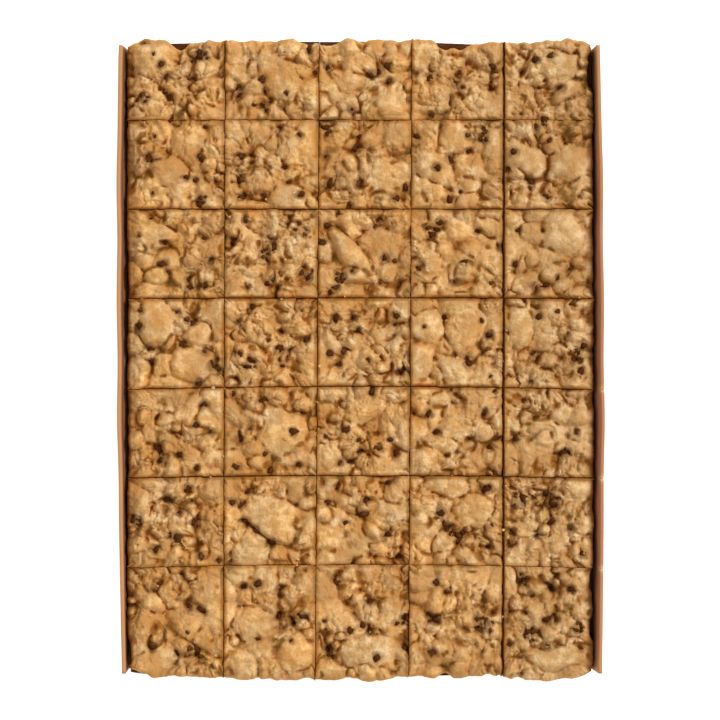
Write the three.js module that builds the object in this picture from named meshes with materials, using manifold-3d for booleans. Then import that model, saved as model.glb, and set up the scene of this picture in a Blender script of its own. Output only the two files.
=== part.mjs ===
// A tray-baked brookie: a brownie base under crumbled chocolate-chip cookie dough, cut into squares
// and carried in a folded kraft card liner with two standing sides.
// Millimetres, +Z up. +X runs across the slab, +Y towards its far end, and z = 0 is under the card.

import * as THREE from 'three';
import { mergeVertices } from 'three/addons/utils/BufferGeometryUtils.js';
import Module from 'manifold-3d';

// Slab
const SLAB_WIDTH = 296;
const SLAB_LENGTH = 406;
const SLAB_SHIFT = 0.5; // the slab lies this far right of the card's middle
const END_WAVE = 1.8; // how far the baked ends wander in and out
const END_WAVE_LENGTH = 42;
const SIDE_WAVE = 0.7;
const SIDE_WAVE_LENGTH = 30;
const SIDE_SALT = 61;
const END_SALT = 63;
const CORNER_INSET = 4; // how far the baked corners fall back from the ends
const CORNER_SHARPNESS = 14;
const EDGE_DROP = 5; // how far the top rolls down towards the slab's outside
const EDGE_WIDTH = 9;

// Knife cuts, counted from the left side and from the far end
const COLUMNS = 5;
const ROWS = 7;
const COLUMN_PITCH = 59.5;
const ROW_PITCH = 57;
const CUTS_SHIFT_X = 2.4; // the cutting grid's middle against the card's
const CUTS_SHIFT_Y = 10.5;
const COLUMN_KERFS = [0.9, 0.8, 0.8, 1.8];
const ROW_KERFS = [0.7, 1.1, 1.2, 1.0, 1.1, 0.6];
const COLUMN_LEANS = [0.6, 1.3, 1.0, 0.3]; // drift towards +X at the far end
const ROW_BOWS = [0, 0, 0.4, 2.0, 1.5, 2.2]; // rise of the middle towards +Y

// Lumps of dough: heights are above the table
const DOUGH_FLOOR = 21.5; // dough between the lumps
const LUMP_BLEND = 0.55; // how softly neighbouring lumps run together
const BROAD_RISE = 0.7; // slow rise and fall of the whole top
const BROAD_LENGTH = 30;
const BROAD_SALT = 83;
const WARPS = [
  { reach: 3.0, length: 14, salt: 71 },
  { reach: 1.3, length: 5.5, salt: 73 },
];
const LUMP_SIZES = [
  { cell: 26, radius: [9.5, 14], top: [25, 28], drop: 4.0, kept: 0.9, salt: 11 },
  { cell: 15, radius: [5, 8.5], top: [23.8, 28], drop: 3.4, kept: 0.8, salt: 21 },
];
const LUMP_JITTER = 0.8; // how freely a lump lies in its cell
const LUMP_STRETCH = 0.6;
const LUMP_LEAN = 2.6;
const LUMP_ROUNDNESS = 2.8;
const BIG_LUMP = { top: 28.6, drop: 4.4, roundness: 3.4 };
const BIG_LUMP_CLEAR = 0.8; // share of a big lump's reach that holds no other lump's middle
// Big lumps that stand out: x, y, half length, half width, turn in degrees
const BIG_LUMPS = [
  [-52, 183, 20, 13, 112],
  [-131, 192, 15, 14, 0],
  [127, 187, 15.5, 13, 20],
  [132, 170, 12, 6, 20],
  [18, 164, 13, 10, 0],
  [61, 141, 10, 10, 0],
  [47, 123, 17, 11, -30],
  [105, 130, 15, 9, -45],
  [135, 125, 13, 13, 0],
  [-122, 120, 11, 9.5, 0],
  [-44, 104, 14, 12, 0],
  [129, 81, 15, 14, 0],
  [-5, 68, 18, 6, -50],
  [-130, 23, 14, 14, 0],
  [-105, 17, 10, 9, 0],
  [-108, -4, 15, 12, 0],
  [42, 19, 13, 11, 90],
  [61, -6, 14, 10, -25],
  [39, -4, 15, 9, 90],
  [100, 19, 13, 9, 90],
  [-50, -48, 18, 15, 0],
  [-56, -100, 20, 14, -35],
  [56, -82, 15, 8, 0],
  [74, -96, 14, 12, 0],
  [-42, -187, 14, 12, 0],
  [-76, -195, 12, 10, 0],
  [7, -187, 20, 12, 0],
  [125, -191, 21, 8.5, 6],
];

// Chocolate chips
const CHIP_CELLS = 4; // chips are scattered over this many cells each way in a square
const CHIP_KEPT = 0.8;
const CHIP_MARGIN = 0.09; // share of a square kept clear along its edges
const CHIP_WIDTH = [3.0, 5.8];
const CHIP_FLATNESS = 0.8;
const CHIP_SINK = 0.1; // how deep a chip's middle lies under the dough, as a share of its width
const CHIP_TILT = 0.9;
const CHIP_SALT = 51;
const CHIPS_SHOWN = 3; // the largest chips of a square have a shape of their own

// Card liner
const CARD_BASE = 1.2;
const CARD_SIDE = 2.4;
const CARD_LENGTH = 401;
const SIDE_HEIGHT = 29;
const FOOT_HALF_SPAN = 149.8; // between the inner faces, at the fold
const RIM_HALF_SPAN = 154; // to the outer faces, at the rim's ends
const RIM_BOW = 2; // how far the rims swell outwards at mid length
const RIM_LEANS = { left: 0.9, right: -0.6 }; // how far the far end stands out
const FOLD_CHAMFER = 1.4;
const CARD_STEPS = 16;
const NICK_LINES = [4, 5, 6]; // row cuts that ran on into the right side's rim
const NICK_WIDTH = 1.6;
const NICK_DEPTH = 3.5;

// Layout of a square's faces
const GAP = 0.3;
const SQUARE_BOTTOM = CARD_BASE + GAP;
const TOP_CELLS = 10;

const DOUGH = new THREE.MeshStandardMaterial({ color: 0xc48f55, roughness: 0.85, metalness: 0 });
const KRAFT = new THREE.MeshStandardMaterial({ color: 0xb88a5f, roughness: 0.9, metalness: 0 });

const wasm = await Module();
wasm.setup();

const { clamp, degToRad, lerp, smoothstep } = THREE.MathUtils;

// A repeatable number from 0 to 1 for a cell of a grid
function draw(column, row, salt) {
  let bits = Math.imul(column, 374761393) ^ Math.imul(row, 668265263) ^ Math.imul(salt, 1442695041);
  bits = Math.imul(bits ^ (bits >>> 13), 1274126177);
  return ((bits ^ (bits >>> 16)) >>> 0) / 2 ** 32;
}

// Smooth noise from -1 to 1 whose bumps are as long as length
function noise(x, y, length, salt) {
  const column = Math.floor(x / length);
  const row = Math.floor(y / length);
  const along = smoothstep(x / length - column, 0, 1);
  const up = smoothstep(y / length - row, 0, 1);
  const near = lerp(draw(column, row, salt), draw(column + 1, row, salt), along);
  const far = lerp(draw(column, row + 1, salt), draw(column + 1, row + 1, salt), along);
  return lerp(near, far, up) * 2 - 1;
}

// X of the slab's sides (lines 0 and COLUMNS) and of the cuts between columns
function columnLine(line, y) {
  if (line === 0 || line === COLUMNS) {
    const side = line === 0 ? -1 : 1;
    return SLAB_SHIFT + side * SLAB_WIDTH / 2 + SIDE_WAVE * noise(y, line, SIDE_WAVE_LENGTH, SIDE_SALT);
  }
  const middle = CUTS_SHIFT_X + (line - COLUMNS / 2) * COLUMN_PITCH;
  return middle + COLUMN_LEANS[line - 1] * y / (SLAB_LENGTH / 2);
}

// Y of the slab's far end (line 0), of its near end (line ROWS) and of the cuts between rows
function rowLine(line, x) {
  const across = Math.abs(x - SLAB_SHIFT) / (SLAB_WIDTH / 2);
  if (line === 0 || line === ROWS) {
    const end = line === 0 ? 1 : -1;
    const wave = END_WAVE * noise(x, line, END_WAVE_LENGTH, END_SALT);
    return end * (SLAB_LENGTH / 2 + wave - CORNER_INSET * across ** CORNER_SHARPNESS);
  }
  const middle = CUTS_SHIFT_Y + (ROWS / 2 - line) * ROW_PITCH;
  return middle + ROW_BOWS[line - 1] * (1 / 3 - across ** 2);
}

// Half the width of a cut, and nothing at the slab's outside
function halfKerf(kerfs, line) {
  return (kerfs[line - 1] ?? 0) / 2;
}

// The point of a square at shares u and v of its width and length
function squarePoint(column, row, u, v) {
  const left = (y) => columnLine(column, y) + halfKerf(COLUMN_KERFS, column);
  const right = (y) => columnLine(column + 1, y) - halfKerf(COLUMN_KERFS, column + 1);
  const near = (x) => rowLine(row + 1, x) + halfKerf(ROW_KERFS, row + 1);
  const far = (x) => rowLine(row, x) - halfKerf(ROW_KERFS, row);
  const middle = CUTS_SHIFT_X + (column + 0.5 - COLUMNS / 2) * COLUMN_PITCH;
  const guess = lerp(near(middle), far(middle), v);
  const x = lerp(left(guess), right(guess), u);
  return new THREE.Vector2(x, lerp(near(x), far(x), v));
}

function bigLumps() {
  return BIG_LUMPS.map(([x, y, length, width, turn]) => ({
    x, y, length, width, turn: degToRad(turn), lean: 0, ...BIG_LUMP,
  }));
}

function scatteredLump(size, column, row) {
  const pick = (offset) => draw(column, row, size.salt + offset);
  const width = lerp(...size.radius, pick(2));
  return {
    x: (column + 0.5 + LUMP_JITTER * (pick(0) - 0.5)) * size.cell,
    y: (row + 0.5 + LUMP_JITTER * (pick(1) - 0.5)) * size.cell,
    length: width * (1 + LUMP_STRETCH * pick(3)),
    width,
    turn: Math.PI * pick(4),
    top: lerp(...size.top, pick(5)),
    lean: (pick(6) - 0.5) * LUMP_LEAN,
    drop: size.drop,
    roundness: LUMP_ROUNDNESS,
    kept: pick(7) < size.kept,
  };
}

// A point's place across a lump, where 1 is its rim along its length and its width
function lumpPlace(lump, x, y) {
  const place = new THREE.Vector2(x - lump.x, y - lump.y);
  place.rotateAround(new THREE.Vector2(), -lump.turn);
  return place.set(place.x / lump.length, place.y / lump.width);
}

// All lumps: the big ones, and scattered ones wherever no big one lies
function allLumps() {
  const big = bigLumps();
  const lumps = [...big];
  for (const size of LUMP_SIZES) {
    const columns = Math.ceil(SLAB_WIDTH / 2 / size.cell) + 1;
    const rows = Math.ceil(SLAB_LENGTH / 2 / size.cell) + 1;
    for (let row = -rows; row < rows; row++) {
      for (let column = -columns; column < columns; column++) {
        const lump = scatteredLump(size, column, row);
        const free = big.every((other) => lumpPlace(other, lump.x, lump.y).length() > BIG_LUMP_CLEAR);
        if (lump.kept && free) {
          lumps.push(lump);
        }
      }
    }
  }
  return lumps;
}

const LUMPS = allLumps();

// Height of one lump's cap, which is flat in the middle and falls ever faster past its rim
function lumpCap(lump, x, y) {
  const place = lumpPlace(lump, x, y);
  return lump.top + lump.lean * place.x - lump.drop * place.length() ** lump.roundness;
}

// How far the top rolls down near the slab's outside
function edgeFall(x, y) {
  const inside = Math.min(
    x - columnLine(0, y),
    columnLine(COLUMNS, y) - x,
    rowLine(0, x) - y,
    y - rowLine(ROWS, x),
  );
  return EDGE_DROP * (1 - clamp(inside / EDGE_WIDTH, 0, 1)) ** 2;
}

// Height of the dough's top: the lumps run together by a soft maximum over warped places
function doughTop(x, y) {
  let warpedX = x;
  let warpedY = y;
  for (const { reach, length, salt } of WARPS) {
    warpedX += reach * noise(x, y, length, salt);
    warpedY += reach * noise(x, y, length, salt + 1);
  }
  let sum = 1;
  for (const lump of LUMPS) {
    sum += Math.exp((lumpCap(lump, warpedX, warpedY) - DOUGH_FLOOR) / LUMP_BLEND);
  }
  const broad = BROAD_RISE * noise(x, y, BROAD_LENGTH, BROAD_SALT);
  return DOUGH_FLOOR + LUMP_BLEND * Math.log(sum) + broad - edgeFall(x, y);
}

// The grid of points on a square's top, row by row from its near left corner
function topPoints(column, row) {
  const points = [];
  for (let j = 0; j <= TOP_CELLS; j++) {
    for (let i = 0; i <= TOP_CELLS; i++) {
      const { x, y } = squarePoint(column, row, i / TOP_CELLS, j / TOP_CELLS);
      points.push(new THREE.Vector3(x, y, doughTop(x, y)));
    }
  }
  return points;
}

const topIndex = (i, j) => j * (TOP_CELLS + 1) + i;

// Indices of the top's rim, anticlockwise from its near left corner
function rimIndices() {
  const steps = [...Array(TOP_CELLS).keys()];
  return [
    ...steps.map((step) => topIndex(step, 0)),
    ...steps.map((step) => topIndex(TOP_CELLS, step)),
    ...steps.map((step) => topIndex(TOP_CELLS - step, TOP_CELLS)),
    ...steps.map((step) => topIndex(0, TOP_CELLS - step)),
  ];
}

function topFaces() {
  const faces = [];
  for (let j = 0; j < TOP_CELLS; j++) {
    for (let i = 0; i < TOP_CELLS; i++) {
      const nearLeft = topIndex(i, j);
      const farRight = topIndex(i + 1, j + 1);
      faces.push(nearLeft, topIndex(i + 1, j), farRight, nearLeft, farRight, topIndex(i, j + 1));
    }
  }
  return faces;
}

// Whether a rim point has a foot below it: every one on the slab's outside, else only corners
function hasFoot(column, row, rimPlace) {
  const outside = [row === ROWS - 1, column === COLUMNS - 1, row === 0, column === 0];
  return rimPlace % TOP_CELLS === 0 || outside[Math.floor(rimPlace / TOP_CELLS)];
}

// One square: a lumpy top, upright cut faces and a flat bottom
function squareGeometry(column, row) {
  const points = topPoints(column, row);
  const faces = topFaces();
  const rim = rimIndices();
  const feet = rim.map((index, place) => {
    if (!hasFoot(column, row, place)) {
      return null;
    }
    points.push(points[index].clone().setZ(SQUARE_BOTTOM));
    return points.length - 1;
  });
  const { x, y } = squarePoint(column, row, 0.5, 0.5);
  const middle = points.push(new THREE.Vector3(x, y, SQUARE_BOTTOM)) - 1;
  let foot = feet[0];
  rim.forEach((index, place) => {
    const next = (place + 1) % rim.length;
    const nextFoot = feet[next];
    if (nextFoot !== null) {
      faces.push(foot, nextFoot, rim[next], middle, nextFoot, foot);
    }
    faces.push(foot, rim[next], index);
    foot = nextFoot ?? foot;
  });
  return new THREE.BufferGeometry().setFromPoints(points).setIndex(faces);
}

// The largest chips of a square, as places u and v with a width and a way of lying
function largestChips(column, row) {
  const chips = [];
  for (let j = 0; j < CHIP_CELLS; j++) {
    for (let i = 0; i < CHIP_CELLS; i++) {
      const pick = (offset) => draw(column * CHIP_CELLS + i, row * CHIP_CELLS + j, CHIP_SALT + offset);
      if (pick(0) < CHIP_KEPT) {
        const u = lerp(CHIP_MARGIN, 1 - CHIP_MARGIN, (i + pick(1)) / CHIP_CELLS);
        const v = lerp(CHIP_MARGIN, 1 - CHIP_MARGIN, (j + pick(2)) / CHIP_CELLS);
        const turn = 2 * Math.PI * pick(4);
        chips.push({ u, v, width: lerp(...CHIP_WIDTH, pick(3)), turn, tilt: CHIP_TILT * pick(5) });
      }
    }
  }
  return chips.sort((one, other) => other.width - one.width).slice(0, CHIPS_SHOWN);
}

// A chip half sunk in the dough
function chipGeometry(column, row, { u, v, width, turn, tilt }) {
  const { x, y } = squarePoint(column, row, u, v);
  const chip = new THREE.IcosahedronGeometry(width / 2);
  chip.scale(1, 1, CHIP_FLATNESS).rotateX(tilt).rotateZ(turn);
  return chip.translate(x, y, doughTop(x, y) - CHIP_SINK * width);
}

function solidOf(geometry) {
  geometry.deleteAttribute('normal');
  geometry.deleteAttribute('uv');
  const merged = mergeVertices(geometry);
  const mesh = new wasm.Mesh({
    numProp: 3,
    vertProperties: merged.getAttribute('position').array,
    triVerts: new Uint32Array(merged.getIndex().array),
  });
  return new wasm.Manifold(mesh);
}

function geometryOf(solid) {
  const { vertProperties, triVerts } = solid.getMesh();
  const geometry = new THREE.BufferGeometry();
  geometry.setAttribute('position', new THREE.BufferAttribute(vertProperties, 3));
  geometry.setIndex(new THREE.BufferAttribute(triVerts, 1));
  geometry.computeVertexNormals();
  return geometry;
}

function brookieSquare(column, row) {
  let solid = solidOf(squareGeometry(column, row));
  for (const chip of largestChips(column, row)) {
    solid = solid.add(solidOf(chipGeometry(column, row, chip)));
  }
  const square = new THREE.Mesh(geometryOf(solid), DOUGH);
  square.name = `square_r${row + 1}_c${column + 1}`;
  return square;
}

// The liner's section at a share t of its half length, anticlockwise from the left fold
function cardSection(t) {
  const y = t * CARD_LENGTH / 2;
  const swell = RIM_BOW * (1 - t * t);
  const left = -(RIM_HALF_SPAN + swell + RIM_LEANS.left * t);
  const right = RIM_HALF_SPAN + swell + RIM_LEANS.right * t;
  const fold = FOOT_HALF_SPAN + CARD_SIDE;
  const outline = [
    [-fold + FOLD_CHAMFER, 0],
    [fold - FOLD_CHAMFER, 0],
    [fold, FOLD_CHAMFER],
    [right, SIDE_HEIGHT],
    [right - CARD_SIDE, SIDE_HEIGHT],
    [FOOT_HALF_SPAN, CARD_BASE],
    [-FOOT_HALF_SPAN, CARD_BASE],
    [left + CARD_SIDE, SIDE_HEIGHT],
    [left, SIDE_HEIGHT],
    [-fold, FOLD_CHAMFER],
  ];
  return outline.map(([x, z]) => new THREE.Vector3(x, y, z));
}

// The folded card: its section carried along Y and closed by a cap at each end
function cardGeometry() {
  const capFaces = [[0, 1, 5], [0, 5, 6], [1, 2, 5], [2, 3, 4], [2, 4, 5], [0, 6, 9], [6, 7, 9], [7, 8, 9]];
  const points = [];
  const faces = [];
  const corners = cardSection(0).length;
  for (let step = 0; step <= CARD_STEPS; step++) {
    points.push(...cardSection(2 * step / CARD_STEPS - 1));
  }
  for (let step = 0; step < CARD_STEPS; step++) {
    for (let corner = 0; corner < corners; corner++) {
      const a = step * corners + corner;
      const b = step * corners + (corner + 1) % corners;
      faces.push(a, b + corners, b, a, a + corners, b + corners);
    }
  }
  const lastSection = CARD_STEPS * corners;
  for (const [a, b, c] of capFaces) {
    faces.push(a, b, c, lastSection + a, lastSection + c, lastSection + b);
  }
  return new THREE.BufferGeometry().setFromPoints(points).setIndex(faces);
}

// A wedge that the knife took out of the right side's rim, at the end of a row's cut
function nickGeometry(line) {
  const wedge = new THREE.Shape();
  wedge.moveTo(-NICK_WIDTH / 2, SIDE_HEIGHT + GAP);
  wedge.lineTo(0, SIDE_HEIGHT - NICK_DEPTH);
  wedge.lineTo(NICK_WIDTH / 2, SIDE_HEIGHT + GAP);
  const nick = new THREE.ExtrudeGeometry(wedge, { depth: 4 * CARD_SIDE, bevelEnabled: false });
  nick.rotateX(Math.PI / 2).rotateZ(Math.PI / 2);
  return nick.translate(RIM_HALF_SPAN - 2 * CARD_SIDE, rowLine(line, RIM_HALF_SPAN), 0);
}

function cardLiner() {
  let solid = solidOf(cardGeometry());
  for (const line of NICK_LINES) {
    solid = solid.subtract(solidOf(nickGeometry(line)));
  }
  const liner = new THREE.Mesh(geometryOf(solid), KRAFT);
  liner.name = 'card_liner';
  return liner;
}

const brookie = new THREE.Group();
brookie.add(cardLiner());
for (let row = 0; row < ROWS; row++) {
  for (let column = 0; column < COLUMNS; column++) {
    brookie.add(brookieSquare(column, row));
  }
}

export default brookie;
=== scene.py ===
"""Brookie traybake: brownie under crumbled chocolate-chip cookie dough, cut into squares, in a card liner.

Laid out as an add-on. Its operators build the slab's pieces in metres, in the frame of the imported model.
"""

from math import pi, radians

import bpy
import numpy as np
from bpy.props import FloatProperty, FloatVectorProperty, IntProperty, PointerProperty
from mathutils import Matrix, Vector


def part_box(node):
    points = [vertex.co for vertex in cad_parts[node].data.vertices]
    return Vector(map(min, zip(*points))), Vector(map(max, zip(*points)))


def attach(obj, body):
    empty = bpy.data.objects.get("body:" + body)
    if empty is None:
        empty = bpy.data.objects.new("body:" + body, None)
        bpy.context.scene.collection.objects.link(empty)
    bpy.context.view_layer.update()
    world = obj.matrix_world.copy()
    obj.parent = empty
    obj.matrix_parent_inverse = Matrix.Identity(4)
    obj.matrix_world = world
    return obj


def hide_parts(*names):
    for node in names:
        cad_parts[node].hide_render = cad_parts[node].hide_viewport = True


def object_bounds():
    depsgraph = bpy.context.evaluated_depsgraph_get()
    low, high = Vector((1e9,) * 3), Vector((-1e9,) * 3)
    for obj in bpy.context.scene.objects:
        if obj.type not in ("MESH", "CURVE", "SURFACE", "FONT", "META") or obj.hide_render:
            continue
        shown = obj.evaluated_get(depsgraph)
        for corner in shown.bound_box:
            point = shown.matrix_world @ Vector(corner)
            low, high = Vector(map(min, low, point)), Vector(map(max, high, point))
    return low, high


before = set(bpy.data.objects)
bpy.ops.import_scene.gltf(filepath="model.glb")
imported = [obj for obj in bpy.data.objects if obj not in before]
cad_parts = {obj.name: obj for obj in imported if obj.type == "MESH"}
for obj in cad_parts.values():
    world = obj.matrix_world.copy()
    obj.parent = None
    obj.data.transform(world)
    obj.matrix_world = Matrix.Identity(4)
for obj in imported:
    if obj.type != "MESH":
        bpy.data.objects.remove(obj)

bl_info = {
    "name": "Brookie traybake",
    "version": (1, 0, 0),
    "blender": (4, 5, 0),
    "location": "3D View > Sidebar > Brookie",
    "description": "Builds a cut slab of brownie under cookie dough in a folded card liner",
    "category": "Add Mesh",
}

CAD_LOW, CAD_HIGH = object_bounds()
CARD_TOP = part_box("card_liner")[1].z
SQUARE_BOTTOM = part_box("square_r4_c3")[0].z
BODY = "root"

MM = 0.001
COLUMNS = 5
ROWS = 7

# Salts of the repeatable draws, one for each use
SIDE_SALT = 61
END_SALT = 63
BROAD_SALT = 83
CRUMBLY_SALT = 81
CRACK_SALT = 75
FINE_SALT = 76
CHIP_SALT = 51
LAYER_SALT = 91
RAGGED_SALT = 101
TINT_SALT = 121
CRUMB_SALT = 131
CARD_SALT = 141
CHIP_DENT_SALT = 153
CROWD_SALT = 171
CLOSING_SALT = 191
PIT_SALT = 211
NEST_SALT = 181

# Lumps of dough, in millimetres, with the shares that are kept on smooth and on crumbly dough
LUMP_SIZES = (
    {"cell": 26, "radius": (9.5, 14), "top": (25.6, 27.4), "drop": 2.4, "kept": (0.9, 0.9), "salt": 11},
    {"cell": 15, "radius": (5, 8.5), "top": (25.0, 27.4), "drop": 2.2, "kept": (0.8, 0.8), "salt": 21},
    {"cell": 8.5, "radius": (3.4, 5.4), "top": (25.2, 27.2), "drop": 1.9, "kept": (0.06, 0.85), "salt": 161},
)
LUMP_JITTER = 0.8
LUMP_STRETCH = 0.6
LUMP_LEAN = 3.0
LUMP_ROUNDNESS = 2.2
LUMP_FIELDS = ("x", "y", "length", "width", "turn", "top", "lean", "drop", "roundness", "calm")
LUMP_REACH = 75 * MM  # lumps and chips farther than this from a square's middle don't show in it
LEAST_SLOPE = 0.2
BIG_LUMP_TOP = 28.0
BIG_LUMP_DROP = 2.7
BIG_LUMP_ROUNDNESS = 2.6
BIG_LUMP_CLEAR = 0.8
BIG_LUMP_CALM = (1.0, 0.75)  # shares of the way out where its calm top starts and is full
BIG_LUMP_CRACKS = 0.8
# Big lumps that stand out: x, y, half length and half width in millimetres, turn in degrees
BIG_LUMPS = (
    (-52, 183, 20, 13, 112),
    (-131, 192, 15, 14, 0),
    (127, 187, 15.5, 13, 20),
    (132, 170, 12, 6, 20),
    (18, 164, 13, 10, 0),
    (61, 141, 10, 10, 0),
    (47, 123, 17, 11, -30),
    (105, 130, 15, 9, -45),
    (135, 125, 13, 13, 0),
    (-122, 120, 11, 9.5, 0),
    (-44, 104, 14, 12, 0),
    (129, 81, 15, 14, 0),
    (-5, 68, 18, 6, -50),
    (-130, 23, 14, 14, 0),
    (-105, 17, 10, 9, 0),
    (-108, -4, 15, 12, 0),
    (42, 19, 13, 11, 90),
    (61, -6, 14, 10, -25),
    (39, -4, 15, 9, 90),
    (100, 19, 13, 9, 90),
    (-50, -48, 18, 15, 0),
    (-56, -100, 20, 14, -35),
    (56, -82, 15, 8, 0),
    (74, -96, 14, 12, 0),
    (-42, -187, 14, 12, 0),
    (-76, -195, 12, 10, 0),
    (7, -187, 20, 12, 0),
    (125, -191, 21, 8.5, 6),
)

# Wandering of places before the lumps are read: reach and length in millimetres, and salt
WARPS = ((2.6, 15, 71), (0.7, 5.5, 73), (0.25, 2.3, 78))

# Nuggets on the lumps: cell in millimetres, height on smooth dough and more on crumbly dough,
# depth of the seams and of the pits between them, salt
NUGGETS = (
    (7.5, 0.30, 0.60, 0.9, 1.8, 31),
    (4.3, 0.30, 0.65, 0.25, 1.1, 41),
    (2.4, 0.30, 0.45, 0.0, 0.5, 201),
)
# Their shape and the gaps between them, as shares of the cell
NUGGET_RADIUS = (0.4, 0.7)
NUGGET_STRETCH = 0.6
NUGGET_RISE = 0.24
NUGGET_DROP = 0.2
NUGGET_LEAST_SLOPE = 0.1
NUGGET_SEAM = 0.1
NUGGET_PIT = 0.13
NUGGET_PATCH = 1.7
NUGGET_PATCH_RANGE = (-0.4, 0.4)
NUGGET_PATCH_SALT = 7
NUGGET_CALM = 0.65  # how much lower they are on calm lumps
NUGGET_SEAM_SHADE = 0.5

# Noise of two lengths in millimetres, with the share of the shorter one
BROAD_NOISE = (30, 13, 1)
CRUMBLY_NOISE = (22, 9, 0.5)
LAYER_NOISE = (18, 5, 0.35)
CLOSING_NOISE = (13, 4, 0.5)
CRUMBLY_RANGE = (-0.1, 0.5)
# Where the dough's features show: noise length in millimetres, noise where they start and are full, salt
FEATURES = {
    "broken": (3.4, -0.3, 0.5, PIT_SALT),
    "pitted": (7, -0.15, 0.45, PIT_SALT + 1),
    "hollow": (9, -0.4, 0.5, CRACK_SALT),
    "cracked": (8, -0.6, 0.2, CRACK_SALT + 4),
    "toasted": (12, -0.4, 0.7, TINT_SALT + 1),
}
GRAIN_LENGTHS = (2.8 * MM, 1.5 * MM)
GRAIN_TURN = np.arctan2(3, 4)
GRAIN_MEAN = 0.5
FINER_GRAINS = 0.5

# Painted shade of the dough from 0 to 1, with some browning, and heights over its floor where low dough gets
# painted shade and browning
CRACK_BROKEN = 0.4
CRACK_CREASE = 0.9
PIT_CREASE = 0.9
SEAM_CREASE = 0.55
SHADE = (0.16, 0.38)
SHADED_RISE = 3.2 * MM
BROWNED_AND_SHADED_RISE = (4.2 * MM, 1.6 * MM)
TOAST_SHARES = (0.3, 0.5, 0.2)

# Places where the dough is crumblier or, with a minus, smoother: x, y, reach in millimetres and strength
CRUMBLY_PLACES = (
    (-117, 182, 28, 0.4),
    (-57, 185, 28, 0.4),
    (-117, 124, 28, 0.3),
    (-57, 67, 28, 0.9),
    (-57, 10, 28, 0.7),
    (2, -46, 26, 0.4),
    (-117, -103, 28, 0.8),
    (121, -103, 28, 0.9),
    (121, -160, 28, 0.9),
    (62, -165, 26, 0.4),
    (2, 182, 28, -0.4),
    (-57, 124, 28, -0.5),
    (2, 67, 26, -0.3),
    (62, 67, 28, -0.5),
    (62, 10, 28, -0.5),
    (2, -103, 28, -0.4),
    (-117, -170, 28, -0.4),
)

# Stretches of the outside where the dough draws back from the brownie or, with a minus, swells over it:
# side, place along it, half width and depth in millimetres
EDGE_STRETCHES = (
    ("right", 188, 13, 3.6),
    ("right", -142, 7, 2.5),
    ("right", -176, 8, 2.5),
    ("left", -192, 10, 2.5),
    ("near", -141, 6, 3.0),
    ("near", -44, 11, -2.0),
    ("near", 12, 14, -1.0),
    ("near", 122, 34, -2.4),
    ("far", -144, 9, -2.2),
    ("far", -116, 6, 3.2),
    ("far", -26, 12, 2.6),
    ("far", 60, 11, 4.0),
    ("far", 138, 12, -2.2),
)
OUTLINE_WINDOW = 9
OUTLINE_MOST = 2 * MM
SIDE_LENGTH = 30 * MM
END_LENGTH = 42 * MM
CORNER_POWER = 14

# Middles of the places where chips crowd together, in millimetres
CHIP_CROWDS = (
    (139, 1), (123, -166), (-101, 102), (79, 144), (116, 151), (-119, -113), (57, -108), (-70, -2), (-93, -3),
    (-139, 166), (-101, 195), (-13, 53), (-18, -188), (82, -171), (47, 82), (27, -167), (-107, -187),
    (-38, 83), (102, -90), (124, -92), (140, -172), (108, -177), (105, -140), (-105, -104), (-143, -103),
    (47, -166), (-60, 162), (-60, 66), (-35, 56),
)
CROWD_SIZE = 4
CROWD_REACH = (1.4, 4.2)
CROWD_JITTER = 0.7
CHIPS_IN_SOLID = 3
CHIP_TRIES = 8
CHIP_FIELDS = ("x", "y", "width", "turn", "tilt", "depth")
CHIP_DENT = 0.6
STREWN_SINK = 0.15
NESTED_SINK = 0.2
# A chip of unit width: radii and heights of its rings, heights of its lowest and highest point
CHIP_PROFILE = ((0.44, 0.50, 0.35, 0.14), (-0.26, -0.12, 0.10, 0.30), (-0.27, 0.44))
CHIP_SIDES = 8
# Marks that chips leave in the dough, as shares of their width or half width
CHIP_REST = 0.4
SOCKET_DEPTH = 0.12
SOCKET_WIDTH = 1.1
STAIN_WIDTH = 1.55
STAIN_WANDER = 0.6
STAIN_LENGTH = 2.6 * MM

# Loose crumbs, in millimetres: one kind lies beside the long cuts and one beside the cross cuts
CRUMB_SIZES = (0.7, 2.0)
CRUMB_KINDS = 30
CRUMB_SPREAD = 0.97
CRUMB_ASIDE = 4 * MM
CRUMB_SINK = 0.1
CRUMB_DENT = 0.7
CRUMB_LEVELS = np.radians((-50, -10, 35))
CRUMB_SIDES = 7

# Layout of the grids
NO_INSETS = (0, 0, 0, 0)
COOKIE_POINTS = 105
BROWNIE_POINTS = 31
ROUND_STEPS = 4
WALL_SHARES = (0.05, 0.12, 0.25, 0.4, 0.55, 0.7, 0.85, 1)
BROWNIE_STEPS = 7
BROWNIE_ROUND = 0.8 * MM

# Cut walls: from which width a cut counts as wide, and looks at narrow and wide or shut and open cuts
WIDE_CUT = (1.2 * MM, 1.7 * MM)
WIDE_CUT_SOFTNESS = 0.7
CLOSING_WANDER = 0.5
# Painted shade darkens the rounding into cuts, the cut walls, the dough's sides beside the card and a share
# of its outer edges; chocolate smears the cut walls
CUT_CREASE = (0.45, 0.7)
CUT_WALL_SHADE = (0.65, 0.9)
SMEARED_STAIN = (0.25, 0.6)
CARD_SIDE_CREASE = 0.6
OUTER_CREASE = 0.35
WALL_STAIN = 0.25
LAYER_OVERLAP = 0.2 * MM
LEAST_WALL = 1.0 * MM
PIT_LENGTHS = (3.1 * MM, 1.3 * MM)
PIT_SHARES = (0.5, 0.35, 0.15)

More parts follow.
